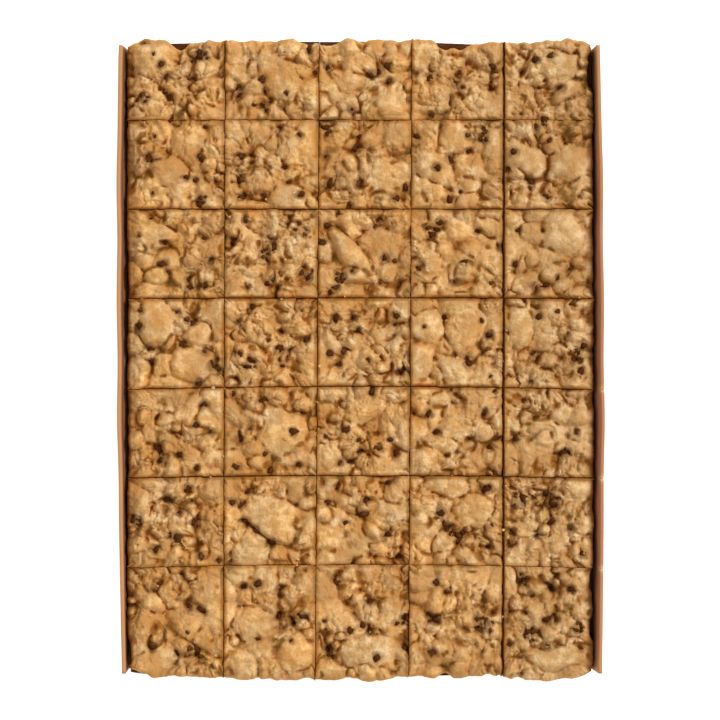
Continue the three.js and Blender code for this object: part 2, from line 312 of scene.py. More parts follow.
# Card: stations along it, shares of its height from the rim down, waves as rise and length in millimetres
CARD_STATIONS = 161
BASE_POINTS = 13
NICKED_CUTS = (4, 5, 6)
NICK_STATIONS = 9
NICK_SPREAD = 1.2
TORN_WIDTH = 1.6 * MM
CARD_CLIMB = np.array((1, 0.996, 0.985, 0.965, 0.93, 0.87, 0.78, 0.66, 0.52, 0.38, 0.24, 0.12, 0.04, 0))
RIM_TAPER = (0.55, 0.8, 0.95)
RIM_DROP = 0.32 * MM
RIM_WAVES = ((0.22, 17), (0.1, 2.6))
SIDE_WAVE = (0.35, 38)
RIM_POWER = 6
# Greasy patches and painted shade on the right side: share on its outer face, and where they fade in towards
# the far and near ends
GREASE_AND_SHADE_OUTSIDE = 0.35
GREASE_AND_SHADE_FAR = (-0.9, -0.35)
GREASE_AND_SHADE_NEAR = (-1.15, -0.55)
# Staining and painted shade inside the left side, under its rim: where they start and are full from the rim
# and from the fold, and their strength
STAIN_AND_SHADE_FROM_RIM = (0.97, 0.8)
STAIN_AND_SHADE_FROM_FOLD = (0.3, 0.75)
CARD_STAIN_AND_SHADE_STRENGTH = 0.8

# Stage, in metres and degrees
FLOOR_HALF = 3.0
FLOOR_GLOW = 0.68
KEY_LIGHT = {"place": (1.25, 0.72, 1.2), "spread": 25, "strength": 2.39}
FILL_LIGHT = {"place": (-1.2, -0.5, 1.7), "spread": 60, "strength": 0.25}
WORLD_COLOUR = (1.0, 0.94, 0.82, 1.0)
WORLD_STRENGTH = 0.60
CAMERA_DISTANCE = 1.6
CAMERA_SHIFT = -0.45 * MM
FRAMED_HEIGHT = 27 * MM
FRAMED_WIDTH = 459.6 * MM


def linear(red, green, blue):
    """Scene-linear colour of an sRGB colour given from 0 to 255."""
    shares = np.array((red, green, blue)) / 255
    return tuple(np.where(shares <= 0.04045, shares / 12.92, ((shares + 0.055) / 1.055) ** 2.4))


def length_property(name, description, millimetres):
    """A size that the add-on's user may change."""
    return FloatProperty(
        name=name, description=description, default=millimetres * MM, unit="LENGTH", precision=4
    )


def lengths_property(name, description, millimetres):
    """A row of sizes that the add-on's user may change."""
    defaults = tuple(size * MM for size in millimetres)
    return FloatVectorProperty(
        name=name, description=description, default=defaults, size=len(defaults), unit="LENGTH", precision=4
    )


def share_property(name, description, default):
    """A share from 0 to 1."""
    return FloatProperty(name=name, description=description, default=default, min=0, max=1, subtype="FACTOR")


def colour_property(name, description, *colour):
    """A colour, with its default in sRGB from 0 to 255."""
    return FloatVectorProperty(
        name=name, description=description, default=linear(*colour), size=3, min=0, max=1, subtype="COLOR"
    )


class SlabSettings(bpy.types.PropertyGroup):
    """The slab's outline, its layers and its knife cuts."""

    width: length_property("Width", "Across the slab", 296)
    length: length_property("Length", "Along the slab", 406)
    shift: length_property("Shift", "How far right of the card's middle the slab lies", 0.5)
    side_wave: length_property("Side wave", "How far the long sides wander", 0.7)
    end_wave: length_property("End wave", "How far the baked ends wander", 1.8)
    corner_inset: length_property("Corner inset", "How far the corners fall back from the ends", 2.5)
    column_pitch: length_property("Column pitch", "Between the long cuts", 59.5)
    row_pitch: length_property("Row pitch", "Between the cross cuts", 57)
    cuts_shift_x: length_property("Cuts shift X", "Middle of the cuts against the card's", 2.4)
    cuts_shift_y: length_property("Cuts shift Y", "Middle of the cuts against the card's", 10.5)
    column_kerfs: lengths_property("Column kerfs", "Widths of the long cuts", (0.9, 0.8, 0.8, 1.8))
    row_kerfs: lengths_property("Row kerfs", "Widths of the cross cuts", (0.7, 1.1, 1.2, 1.0, 1.1, 0.6))
    column_leans: lengths_property("Column leans", "Long cuts' drift at the far end", (0.6, 1.3, 1.0, 0.3))
    row_bows: lengths_property("Row bows", "Rise of the cross cuts' middles", (0, 0, 0.4, 2.0, 1.5, 2.2))
    brownie_top: length_property("Brownie top", "Height of the brownie layer's top above the table", 13.5)
    layer_wave: length_property("Layer wave", "How far the line between the layers wanders", 0.9)
    brownie_bulge: length_property("Brownie bulge", "How far the brownie's outer faces belly out", 0.6)


class DoughSettings(bpy.types.PropertyGroup):
    """The cookie dough's relief."""

    floor: length_property("Floor", "Height of the dough between the lumps", 23.4)
    blend: length_property("Blend", "How softly neighbouring lumps run together", 0.3)
    broad_rise: length_property("Broad rise", "Slow rise and fall of the whole top", 0.7)
    end_drop: length_property("End drop", "How far the top rolls down at the slab's ends", 3.2)
    end_width: length_property("End width", "Width of that roll", 8)
    side_drop: length_property("Side drop", "How far the top rolls down along the card", 5.5)
    side_width: length_property("Side width", "Width of that roll", 11)
    hollow_depth: length_property("Hollow depth", "Depth of the soft hollows between lumps", 1.1)
    hollow_width: length_property("Hollow width", "Reach of a hollow to each side", 2.0)
    crack_depth: length_property("Crack depth", "Depth of the cracks between lumps", 1.6)
    crack_width: length_property("Crack width", "Reach of a crack to each side", 0.82)
    pit_depth: length_property("Pit depth", "Depth of the pits where three lumps meet", 2.2)
    pit_width: length_property("Pit width", "Reach of a pit", 1.6)
    fine_rise: length_property("Fine rise", "Height of the fine, round grains", 0.12)
    cut_round: length_property("Cut rounding", "Width over which the dough rounds down into a cut", 2.3)
    cut_sink: lengths_property("Cut sink", "How far it rounds down at shut and open cuts", (0.45, 0.75))
    cut_depth: FloatProperty(name="Cut depth", description="Depth of a cut against its width", default=1.0)
    cut_shut: length_property("Shut cut", "Width of a cut that closes up again", 0.4)
    cut_open: length_property("Open cut", "Width of a cut that stays open", 1.4)
    outer_round: length_property("Outer rounding", "Rounding of the dough's edge at the slab's outside", 4.0)
    ragged: length_property("Raggedness", "Depth of the pits in the cut faces", 0.24)
    outer_ragged: length_property("Outer raggedness", "Depth of the pits in the dough's outer faces", 1.0)
    end_inset: length_property("End inset", "How far the dough lies inside the slab's ends", -0.3)
    left_inset: length_property("Left inset", "How far the dough lies inside the slab's left side", -2.0)
    right_inset: length_property("Right inset", "How far the dough lies inside the slab's right side", -1.6)
    end_bulge: share_property("End bulge", "How far the ends follow the lumps' height", 0.5)
    side_bulge: share_property("Side bulge", "How far the sides follow the lumps' height", 0.1)
    outline_depth: length_property("Outline depth", "How far inside the edge that height is read", 6)
    outline_step: length_property("Outline step", "Spacing of the places where it is read", 0.5)


class ChipSettings(bpy.types.PropertyGroup):
    """The chocolate chips and the loose crumbs."""

    cells: IntProperty(name="Cells", description="Chips are strewn over this many cells each way", default=4)
    kept: share_property("Kept", "Share of the cells from which the widest chips are taken", 0.8)
    others_kept: share_property("Others kept", "Share of the cells that hold a chip in any case", 0.1)
    nest_cell: length_property("Nest cell", "Spacing of the chips that lie in hollows", 24)
    nest_size: share_property("Nest size", "Width of the chips in hollows against the others", 0.9)
    margin: share_property("Margin", "Share of a square kept clear along its edges", 0.09)
    width_least: length_property("Least width", "Width of the smallest chip", 3.0)
    width_most: length_property("Most width", "Width of the largest chip", 5.8)
    tilt: FloatProperty(name="Tilt", description="Steepest way of lying", default=1.5, subtype="ANGLE")
    sink: share_property("Sink", "Depth of a chip's middle under the dough, as a share of its width", 0.14)
    crumbs: IntProperty(name="Crumbs", description="Loose crumbs of dough", default=300)


class CardSettings(bpy.types.PropertyGroup):
    """The folded card liner."""

    base: length_property("Base", "Thickness under the slab", 1.2)
    side: length_property("Side", "Thickness of the standing sides", 2.4)
    length: length_property("Length", "Along the slab", 401)
    foot_half_span: length_property("Foot half span", "From the middle to a side's inner fold", 149.8)
    left_half_span: length_property("Left half span", "From the middle to the left rim's ends", 153.1)
    right_half_span: length_property("Right half span", "From the middle to the right rim's ends", 154)
    rim_bow: length_property("Rim bow", "How far the rims swell outwards at mid length", 2)
    left_lean: length_property("Left lean", "How far the left rim's far end stands out", 1.2)
    right_lean: length_property("Right lean", "How far the right rim's far end stands out", -0.6)
    fold_chamfer: length_property("Fold chamfer", "Flat along the folds' outside", 1.4)
    nick_width: length_property("Nick width", "Width of the knife's nicks in the right rim", 1.6)
    nick_depth: length_property("Nick depth", "Depth of those nicks", 3.5)


class ColourSettings(bpy.types.PropertyGroup):
    """Colours of the materials."""

    dough: colour_property("Dough", "Most of the dough", 204, 156, 102)
    dough_pale: colour_property("Pale dough", "Dry tops of the lumps", 232, 190, 139)
    dough_cream: colour_property("Cream dough", "Dry crumbs on the palest patches", 250, 216, 172)
    dough_toast: colour_property("Toasted dough", "Browned patches", 192, 140, 86)
    # Dark brown of the specks, and painted shade with some browning in the creases
    dough_brown_and_shade: colour_property("Creases", "Dough deep in the creases", 158, 94, 16)
    # Painted shade with some browning at the bottom of the deepest creases
    crack_brown_and_shade: colour_property("Cracks", "Dough at the bottom of the deepest creases", 128, 70, 14)
    cool_cast: colour_property("Cool cast", "What tints the duller patches", 244, 251, 255)
    warm_cast: colour_property("Warm cast", "What tints the redder patches", 255, 249, 226)
    brownie: colour_property("Brownie", "Crumb of the brownie", 76, 42, 16)
    brownie_crust: colour_property("Brownie crust", "Driest parts of the brownie", 112, 70, 36)
    chocolate: colour_property("Chocolate", "The chips", 76, 37, 6)
    chocolate_bloom: colour_property("Bloom", "Dusty patches on the chips", 112, 74, 36)
    # Dull olive painted shade in some creases, partly smudges
    smudge_and_shade: colour_property("Smudge", "Dull dough in some of the creases", 136, 100, 52)
    smear: colour_property("Smear", "Chocolate smeared on the dough around the chips", 94, 48, 12)
    card: colour_property("Card", "Clean card", 192, 142, 98)
    # Greasy patches and painted shade on the right side, and darker fibres
    card_grease_and_shade: colour_property("Greasy card", "Card darkened by grease", 182, 126, 98)
    # Staining and painted shade inside the left side
    card_stain_and_shade: colour_property("Stained card", "Inside of the card on the left", 90, 48, 24)
    floor: colour_property("Floor", "The floor under the object", 250, 250, 250)


def draw(column, row, salt):
    """Repeatable numbers from 0 to 1 for cells of a grid: numbers mixed by multiplying and shifting bits."""
    column = np.asarray(column, dtype=np.int64)
    row = np.asarray(row, dtype=np.int64)
    bits = ((column * 374761393) ^ (row * 668265263) ^ (salt * 1442695041)) & 0xFFFFFFFF
    bits = ((bits ^ (bits >> 13)) * 1274126177) & 0xFFFFFFFF
    return (bits ^ (bits >> 16)) / 2**32


def draws(column, row, salt, count):
    """Several numbers for each cell, with salts in a row."""
    return [draw(column, row, salt + offset) for offset in range(count)]


def blend(low, high, share):
    """The value a share of the way from low to high."""
    return low + (high - low) * share


def ease(low, high, value):
    """0 at low, 1 at high, and a smooth step between."""
    share = np.clip((value - low) / (high - low), 0, 1)
    return share * share * (3 - 2 * share)


def bell(distance, width, power=2):
    """1 in the middle, and little past the width: exp(-(distance / width)^power)."""
    return np.exp(-((distance / width) ** power))


def turned(x, y, angle):
    """A place turned about the origin."""
    cos, sin = np.cos(angle), np.sin(angle)
    return x * cos - y * sin, x * sin + y * cos


def flat_grid(across, along):
    """Both coordinates of every point of a grid, stored row by row."""
    return [part.ravel() for part in np.meshgrid(across, along)]


def stacked(x, y, z):
    """Points from arrays of their coordinates."""
    return np.stack(np.broadcast_arrays(x, y, z), axis=-1)


def noise(x, y, length, salt):
    """Smooth noise from -1 to 1: draws at the corners of cells as long as length, blended by smooth steps."""
    x, y = np.broadcast_arrays(np.asarray(x, float) / length, np.asarray(y, float) / length)
    column = np.floor(x).astype(np.int64)
    row = np.floor(y).astype(np.int64)
    along = ease(0, 1, x - column)
    up = ease(0, 1, y - row)
    near = blend(draw(column, row, salt), draw(column + 1, row, salt), along)
    far = blend(draw(column, row + 1, salt), draw(column + 1, row + 1, salt), along)
    return blend(near, far, up) * 2 - 1


def double_noise(x, y, kind, salt):
    """Noise of one length with a share of a shorter noise added."""
    long, short, share = kind
    return noise(x, y, long * MM, salt) + share * noise(x, y, short * MM, salt + 1)


def feature(x, y, name):
    """Where a feature of the dough shows, from 0 to 1: a smooth step of noise."""
    length, start, full, salt = FEATURES[name]
    return ease(start, full, noise(x, y, length * MM, salt))


def crumbliness(x, y):
    """How crumbly the dough is, from 0 on smooth lumps to 1: noise, raised or lowered at some places."""
    wander = double_noise(x, y, CRUMBLY_NOISE, CRUMBLY_SALT)
    for place_x, place_y, reach, strength in CRUMBLY_PLACES:
        apart = np.hypot(x - place_x * MM, y - place_y * MM)
        wander = wander + strength * bell(apart, reach * MM, 4)
    return ease(*CRUMBLY_RANGE, wander)


def column_line(slab, line, y):
    """X of the slab's sides (the first and the last line) and of the long cuts.

    A side wanders by smooth noise along y. A cut is straight and leans evenly with y.
    """
    if line in (0, COLUMNS):
        side = -1 if line == 0 else 1
        wander = slab.side_wave * noise(y, line * MM, SIDE_LENGTH, SIDE_SALT)
        return slab.shift + side * slab.width / 2 + wander
    middle = slab.cuts_shift_x + (line - COLUMNS / 2) * slab.column_pitch
    return middle + slab.column_leans[line - 1] * y / (slab.length / 2)


def row_line(slab, line, x):
    """Y of the slab's far end (line 0), of its near end (the last line) and of the cross cuts.

    An end wanders by smooth noise along x and falls back steeply at its corners. A cut is a shallow parabola.
    """
    across = np.abs(x - slab.shift) / (slab.width / 2)
    if line in (0, ROWS):
        end = 1 if line == 0 else -1
        wander = slab.end_wave * noise(x, line * MM, END_LENGTH, END_SALT)
        return end * (slab.length / 2 + wander - slab.corner_inset * across**CORNER_POWER)
    middle = slab.cuts_shift_y + (ROWS / 2 - line) * slab.row_pitch
    return middle + slab.row_bows[line - 1] * (1 / 3 - across**2)


def half_kerf(kerfs, line):
    """Half the width of a cut, and nothing at the slab's outside."""
    return kerfs[line - 1] / 2 if 0 < line <= len(kerfs) else 0


def square_point(slab, column, row, u, v, insets, outline=None):
    """X and y of a square's points at shares u and v of its width and length.

    The four edges are the lines around it, moved in by half a cut and by insets (near, right, far, left).
    A first guess of y gives the place on the side edges, and the x found there the place on the end edges.
    An outline moves the edges on the slab's outside in by its own amount along each side.
    """
    near_inset, right_inset, far_inset, left_inset = insets

    def outer(side, along, line, outside):
        return np.interp(along, *outline[side]) if outline and line == outside else 0

    def left(y):
        edge = column_line(slab, column, y) + half_kerf(slab.column_kerfs, column)
        return edge + left_inset + outer("left", y, column, 0)

    def right(y):
        edge = column_line(slab, column + 1, y) - half_kerf(slab.column_kerfs, column + 1)
        return edge - right_inset - outer("right", y, column + 1, COLUMNS)

    def near(x):
        edge = row_line(slab, row + 1, x) + half_kerf(slab.row_kerfs, row + 1)
        return edge + near_inset + outer("near", x, row + 1, ROWS)

    def far(x):
        edge = row_line(slab, row, x) - half_kerf(slab.row_kerfs, row)
        return edge - far_inset - outer("far", x, row, 0)

    middle = slab.cuts_shift_x + (column + 0.5 - COLUMNS / 2) * slab.column_pitch
    guess = blend(near(middle), far(middle), v)
    x = blend(left(guess), right(guess), u)
    return x, blend(near(x), far(x), v)


def squares():
    """Column, row and label of every square, row by row from the far left one."""
    for row in range(ROWS):
        for column in range(COLUMNS):
            yield column, row, f"r{row + 1}_c{column + 1}"


def lump_table(**measures):
    """Lumps as one record array with a field for each measure."""
    fields = [np.asarray(measures[field], float) for field in LUMP_FIELDS]
    return np.rec.fromarrays(np.broadcast_arrays(*fields), names=LUMP_FIELDS)


def big_lumps():
    """The lumps that stand out, in metres."""
    x, y, length, width, turn = np.array(BIG_LUMPS, float).T
    return lump_table(
        x=x * MM, y=y * MM, length=length * MM, width=width * MM, turn=np.radians(turn),
        top=BIG_LUMP_TOP * MM, lean=0, drop=BIG_LUMP_DROP * MM, roundness=BIG_LUMP_ROUNDNESS, calm=1,
    )


def lump_places(lumps, x, y):
    """Places across every lump along a last axis, where 1 is its rim along its length and its width."""
    east = np.asarray(x)[..., None] - lumps.x
    north = np.asarray(y)[..., None] - lumps.y
    along, across = turned(east, north, -lumps.turn)
    return along / lumps.length, across / lumps.width


def scattered_lumps(slab, size, big):
    """Lumps of one size, one draw to a cell, wherever no big lump lies."""
    cell = size["cell"] * MM
    columns = int(np.ceil(slab.width / 2 / cell)) + 1
    rows = int(np.ceil(slab.length / 2 / cell)) + 1
    column, row = flat_grid(np.arange(-columns, columns), np.arange(-rows, rows))
    pick = draws(column, row, size["salt"], 8)
    width = blend(*size["radius"], pick[2]) * MM
    lumps = lump_table(
        x=(column + 0.5 + LUMP_JITTER * (pick[0] - 0.5)) * cell,
        y=(row + 0.5 + LUMP_JITTER * (pick[1] - 0.5)) * cell,
        length=width * (1 + LUMP_STRETCH * pick[3]),
        width=width,
        turn=pi * pick[4],
        top=blend(*size["top"], pick[5]) * MM,
        lean=(pick[6] - 0.5) * LUMP_LEAN * MM,
        drop=size["drop"] * MM,
        roundness=LUMP_ROUNDNESS,
        calm=0,
    )
    along, across = lump_places(big, lumps.x, lumps.y)
    free = np.hypot(along, across).min(-1) > BIG_LUMP_CLEAR
    kept = blend(*size["kept"], crumbliness(lumps.x, lumps.y))
    return lumps[(pick[7] < kept) & free]


def all_lumps(slab):
    """The big lumps and the scattered ones."""
    big = big_lumps()
    return np.concatenate([big] + [scattered_lumps(slab, size, big) for size in LUMP_SIZES]).view(np.recarray)


def nuggets(x, y, cell, salt):
    """Height of small nuggets, one draw to a cell, with the seams and the pits between them from 0 to 1.

    Each is a cap, rise - drop * d^2. The highest cap counts. Seams run where the two highest are level, and
    are as wide everywhere because the difference is divided by the slopes. Pits lie where three are level.
    """
    best = np.full(np.shape(x), -cell)
    second = best
    third = best
    best_slope = np.zeros(np.shape(x))
    second_slope = best_slope
    home_column = np.floor(x / cell).astype(np.int64)
    home_row = np.floor(y / cell).astype(np.int64)
    for step in range(9):
        column = home_column + step % 3 - 1
        row = home_row + step // 3 - 1
        pick = draws(column, row, salt, 6)
        radius = cell * blend(*NUGGET_RADIUS, pick[2])
        along, across = turned(x - (column + pick[0]) * cell, y - (row + pick[1]) * cell, -pi * pick[4])
        along = along / (radius * (1 + NUGGET_STRETCH * pick[3]))
        across = across / radius
        cap = cell * (NUGGET_RISE * pick[5] - NUGGET_DROP * (along**2 + across**2))
        slope = 2 * NUGGET_DROP * np.hypot(along, across) * cell / radius
        second_slope = np.where(cap > best, best_slope, np.where(cap > second, slope, second_slope))
        best_slope = np.where(cap > best, slope, best_slope)
        third = np.maximum(third, np.minimum(second, cap))
        second = np.maximum(second, np.minimum(best, cap))
        best = np.maximum(best, cap)
    apart = (best - second) / (best_slope + second_slope + NUGGET_LEAST_SLOPE)
    return best, bell(apart, NUGGET_SEAM * cell), bell(best - third, NUGGET_PIT * cell)


def nugget_relief(x, y, warped_x, warped_y, crumbly, calm, broken):
    """Height of the nuggets of every size, and the darkness between them from 0 to 1.

    They are higher on crumbly dough and lower on calm lumps. Seams and pits show in patches of noise.
    """
    height = 0
    seams = 0
    for cell, smooth_height, crumbly_height, seam_depth, pit_depth, salt in NUGGETS:
        rise, seam, pit = nuggets(warped_x, warped_y, cell * MM, salt)
        share = (smooth_height + crumbly_height * crumbly) * (1 - NUGGET_CALM * calm)
        patch = noise(x, y, NUGGET_PATCH * cell * MM, salt + NUGGET_PATCH_SALT)
        gate = share * ease(*NUGGET_PATCH_RANGE, patch)
        height = height + share * rise - gate * (seam_depth * seam * broken + pit_depth * pit) * MM
        seams = np.maximum(seams, gate * np.maximum(NUGGET_SEAM_SHADE * seam * broken, pit))
    return height, seams


def joined_lumps(dough, lumps, x, y):
    """Height of the lumps and the floor run together, with what else is read from them.

    The caps, top + lean * along - drop * d^roundness, run together by a soft maximum. Distances to the line
    where the two highest are level and to the point where three are come from the caps' differences, divided
    by their slopes. The rest is whether a big lump is at that line, and the calm and tint of the top lump.
    """
    along, across = lump_places(lumps, x, y)
    out = np.hypot(along, across)
    caps = lumps.top + lumps.lean * along - lumps.drop * out**lumps.roundness
    slopes = lumps.drop * lumps.roundness * out ** (lumps.roundness - 1) / lumps.width
    height = dough.floor + dough.blend * np.log1p(np.exp((caps - dough.floor) / dough.blend).sum(-1))
    winner = caps.argmax(-1)
    tint = draw(winner, np.rint(lumps.x[winner] / MM), TINT_SALT)
    out_on_winner = np.take_along_axis(out, winner[..., None], -1)[..., 0]
    calm = lumps.calm[winner] * ease(*BIG_LUMP_CALM, out_on_winner)
    ground = np.ones(caps.shape[:-1] + (1,))
    caps = np.concatenate([caps, dough.floor * ground], axis=-1)
    slopes = np.concatenate([slopes, 0 * ground], axis=-1)
    order = np.argpartition(caps, (-3, -2), axis=-1)[..., -3:]
    third, second, best = np.moveaxis(np.take_along_axis(caps, order, -1), -1, 0)
    third_slope, second_slope, best_slope = np.moveaxis(np.take_along_axis(slopes, order, -1), -1, 0)
    to_line = (best - second) / (best_slope + second_slope + LEAST_SLOPE)
    to_point = (best - third) / (best_slope + third_slope + LEAST_SLOPE)
    outlined = np.append(lumps.calm, 0)[order[..., 1:]].max(-1)
    return height, to_line, to_point, outlined, calm, tint


def edge_fall(slab, dough, x, y):
    """How far the top rolls down near the outside: a parabola over the roll's width, and the lower counts."""
    from_side = np.minimum(x - column_line(slab, 0, y), column_line(slab, COLUMNS, y) - x)
    from_end = np.minimum(row_line(slab, 0, x) - y, y - row_line(slab, ROWS, x))
    beside_card = dough.side_drop * (1 - np.clip(from_side / dough.side_width, 0, 1)) ** 2
    at_end = dough.end_drop * (1 - np.clip(from_end / dough.end_width, 0, 1)) ** 2
    return np.maximum(beside_card, at_end)


def dough_surface(slab, dough, lumps, x, y):
    """Height of the dough's top, with its painted shade of creases (partly browning) and its toast from 0 to
    1.

    Places wander by noise, and over them lie the lumps and the nuggets. Soft hollows and narrower cracks run
    along the lines between lumps, and pits lie where three meet. A slow swell and fine grains lie over
    everything. The grains are noise without its sign, turned off the slab's axes. The top rolls down at the
    outside. Cracks, pits and seams get painted shade with some browning, and low dough a little, more where
    it is crumbly. Toast is a mean of each lump's tint, patches of noise and low dough, the last part painted
    shade with some browning.
    """
    warped_x = x
    warped_y = y
    for reach, length, salt in WARPS:
        warped_x = warped_x + reach * MM * noise(x, y, length * MM, salt)
        warped_y = warped_y + reach * MM * noise(x, y, length * MM, salt + 1)
    lumpy, to_line, to_point, outlined, calm, tint = joined_lumps(dough, lumps, warped_x, warped_y)
    crumbly = crumbliness(x, y)
    broken = feature(x, y, "broken")
    small, seams = nugget_relief(x, y, warped_x, warped_y, crumbly, calm, broken)
    pit = feature(x, y, "pitted") * bell(to_point, dough.pit_width)
    hollow = feature(x, y, "hollow") * bell(to_line, dough.hollow_width)
    cracked = np.maximum(feature(x, y, "cracked"), BIG_LUMP_CRACKS * outlined)
    crack = cracked * blend(CRACK_BROKEN, 1, broken) * bell(to_line, dough.crack_width)
    turned_x, turned_y = turned(x, y, GRAIN_TURN)
    coarse = np.abs(noise(turned_x, turned_y, GRAIN_LENGTHS[0], FINE_SALT))
    grains = coarse + FINER_GRAINS * np.abs(noise(turned_y, x, GRAIN_LENGTHS[1], FINE_SALT + 1))
    fine = dough.fine_rise * (grains - GRAIN_MEAN)
    broad = dough.broad_rise * double_noise(x, y, BROAD_NOISE, BROAD_SALT)
    height = lumpy + small + fine + broad - edge_fall(slab, dough, x, y)
    height = height - dough.hollow_depth * hollow - dough.crack_depth * crack - dough.pit_depth * pit
    # Painted shade, partly browning: cracks, pits, seams and low dough are darkened, more where it is crumbly
    rise = lumpy + small - dough.floor
    valley = 1 - ease(0, SHADED_RISE, rise)
    shade = np.maximum(hollow, valley) * blend(*SHADE, crumbly)
    crease_brown_and_shade = np.maximum.reduce([CRACK_CREASE * crack, shade, SEAM_CREASE * seams, PIT_CREASE * pit])
    # Low dough is toasted darker: painted shade, partly browning
    causes = (tint, feature(x, y, "toasted"), ease(*BROWNED_AND_SHADED_RISE, rise))
    toast = sum(share * cause for share, cause in zip(TOAST_SHARES, causes))
    return height, crease_brown_and_shade, toast


def dough_outline(slab, dough, lumps):
    """How far the dough draws back from the slab's line along each outer side: places along it and insets.

    It bulges out with the height of the dough a little inside the edge, smoothed along the side, and draws
    back or swells by one rounded bay exp(-(distance / half width)^4) for each stretch.
    """
    levels = {
        "near": dough.end_inset,
        "right": dough.right_inset,
        "far": dough.end_inset,
        "left": dough.left_inset,
    }
    outline = {}
    along = np.arange(-slab.length / 2, slab.length / 2, dough.outline_step)
    for side, level in levels.items():
        if side in ("left", "right"):
            line = column_line(slab, 0 if side == "left" else COLUMNS, along)
            x, y, bulge = line - np.sign(line) * dough.outline_depth, along, dough.side_bulge
        else:
            line = row_line(slab, ROWS if side == "near" else 0, along)
            x, y, bulge = along, line - np.sign(line) * dough.outline_depth, dough.end_bulge
        height = dough_surface(slab, dough, lumps, x, y)[0]
        smooth = np.convolve(height, np.full(OUTLINE_WINDOW, 1 / OUTLINE_WINDOW), mode="same")
        inset = level - np.clip(bulge * (smooth - np.median(smooth)), -OUTLINE_MOST, OUTLINE_MOST)
        for name, place, half_width, depth in EDGE_STRETCHES:
            if name == side:
                inset = inset + depth * MM * bell(along - place * MM, half_width * MM, 4)
        outline[side] = (along, inset)
    return outline


def layer_height(slab, x, y):
    """Height of the line between brownie and cookie dough, which wanders by smooth noise."""
    return slab.brownie_top + slab.layer_wave * double_noise(x, y, LAYER_NOISE, LAYER_SALT)


def chip_table(chips, x, y, width, lying, sunk):
    """Chips as one record array, from places, widths, draws of turn, tilt and depth, and depths' spread."""
    turn, tilt, depth = lying
    fields = (x, y, width, 2 * pi * turn, chips.tilt * tilt, width * (chips.sink + sunk * depth))
    return np.rec.fromarrays(fields, names=CHIP_FIELDS)


def crowded_chips(chips):
    """Chips that crowd together, a few around each middle."""
    crowd = np.repeat(np.arange(len(CHIP_CROWDS)), CROWD_SIZE)
    member = np.arange(len(crowd)) % CROWD_SIZE
    pick = draws(crowd, member, CROWD_SALT, 6)
    middle_x, middle_y = np.array(CHIP_CROWDS)[crowd].T * MM
    angle = 2 * pi * (member + CROWD_JITTER * pick[0]) / CROWD_SIZE
    reach = blend(*CROWD_REACH, pick[1]) * MM
    width = blend(chips.width_least, chips.width_most, pick[2])
    x = middle_x + reach * np.cos(angle)
    y = middle_y + reach * np.sin(angle)
    return chip_table(chips, x, y, width, pick[3:], NESTED_SINK)


def strewn_chips(slab, chips, column, row):
    """Chips strewn over one square, one draw to a cell: its widest chips and some of the others."""
    cells = chips.cells
    i, j = flat_grid(np.arange(cells), np.arange(cells))
    pick = draws(column * cells + i, row * cells + j, CHIP_SALT, 7)
    u = blend(chips.margin, 1 - chips.margin, (i + pick[1]) / cells)
    v = blend(chips.margin, 1 - chips.margin, (j + pick[2]) / cells)
    x, y = square_point(slab, column, row, u, v, NO_INSETS)
    width = blend(chips.width_least, chips.width_most, pick[3])
    widest = np.argsort(-np.where(pick[0] < chips.kept, width, 0))[:CHIPS_IN_SOLID]
    held = pick[0] < chips.others_kept
    held[widest] = True
    return chip_table(chips, x, y, width, pick[4:], STREWN_SINK)[held]


def nested_chips(slab, dough, chips, lumps):
    """Chips that lie in hollows: of a few places drawn in each cell, a chip takes the lowest."""
    inner_width = slab.width - 2 * dough.side_width
    inner_length = slab.length - 2 * dough.side_width
    columns = int(inner_width / chips.nest_cell)
    rows = int(inner_length / chips.nest_cell)
    column, row = flat_grid(np.arange(columns), np.arange(rows))
    tries = np.arange(CHIP_TRIES)[:, None] * 2
    x = slab.shift + ((column + draw(column, row, NEST_SALT + tries)) / columns - 0.5) * inner_width
    y = ((row + draw(column, row, NEST_SALT + tries + 1)) / rows - 0.5) * inner_length
    lowest = dough_surface(slab, dough, lumps, x, y)[0].argmin(0)[None]
    x, y = (np.take_along_axis(part, lowest, 0)[0] for part in (x, y))
    pick = draws(column, row, NEST_SALT + 20, 4)
    width = chips.nest_size * blend(chips.width_least, chips.width_most, pick[0])
    return chip_table(chips, x, y, width, pick[1:], NESTED_SINK)


def all_chips(scene, lumps):
    """Every chip, strewn, nested and crowded."""
    slab, chips = scene.brookie_slab, scene.brookie_chips
    strewn = [strewn_chips(slab, chips, *square[:2]) for square in squares()]
    nested = nested_chips(slab, scene.brookie_dough, chips, lumps)
    return np.concatenate([*strewn, nested, crowded_chips(chips)]).view(np.recarray)


def chip_heights(slab, dough, lumps, chips):
    """Height of the dough under each chip, as the mean of its middle and four places around it."""
    reach = CHIP_REST * chips.width
    heights = [
        dough_surface(slab, dough, lumps, chips.x + east * reach, chips.y + north * reach)[0]
        for east, north in ((0, 0), (1, 0), (0, 1), (-1, 0), (0, -1))
    ]
    return np.mean(heights, axis=0)


def chip_marks(chips, x, y):
    """Depth of the sockets under the chips, and the chocolate smeared around them from 0 to 1."""
    apart = np.hypot(x[..., None] - chips.x, y[..., None] - chips.y) / (chips.width / 2)
    socket = (SOCKET_DEPTH * chips.width * bell(apart, SOCKET_WIDTH, 4)).max(-1)
    ragged = STAIN_WIDTH + STAIN_WANDER * noise(x, y, STAIN_LENGTH, CHIP_SALT + 7)
    stain_and_shade = bell(apart, ragged[..., None], 3).max(-1)
    return socket, stain_and_shade


def grid_quads(columns, rows):
    """Corner indices of the quads of a grid of points stored row by row."""
    index = np.arange(columns * rows).reshape(rows, columns)
    corners = (index[:-1, :-1], index[:-1, 1:], index[1:, 1:], index[1:, :-1])
    return np.stack(corners, axis=-1).reshape(-1, 4)


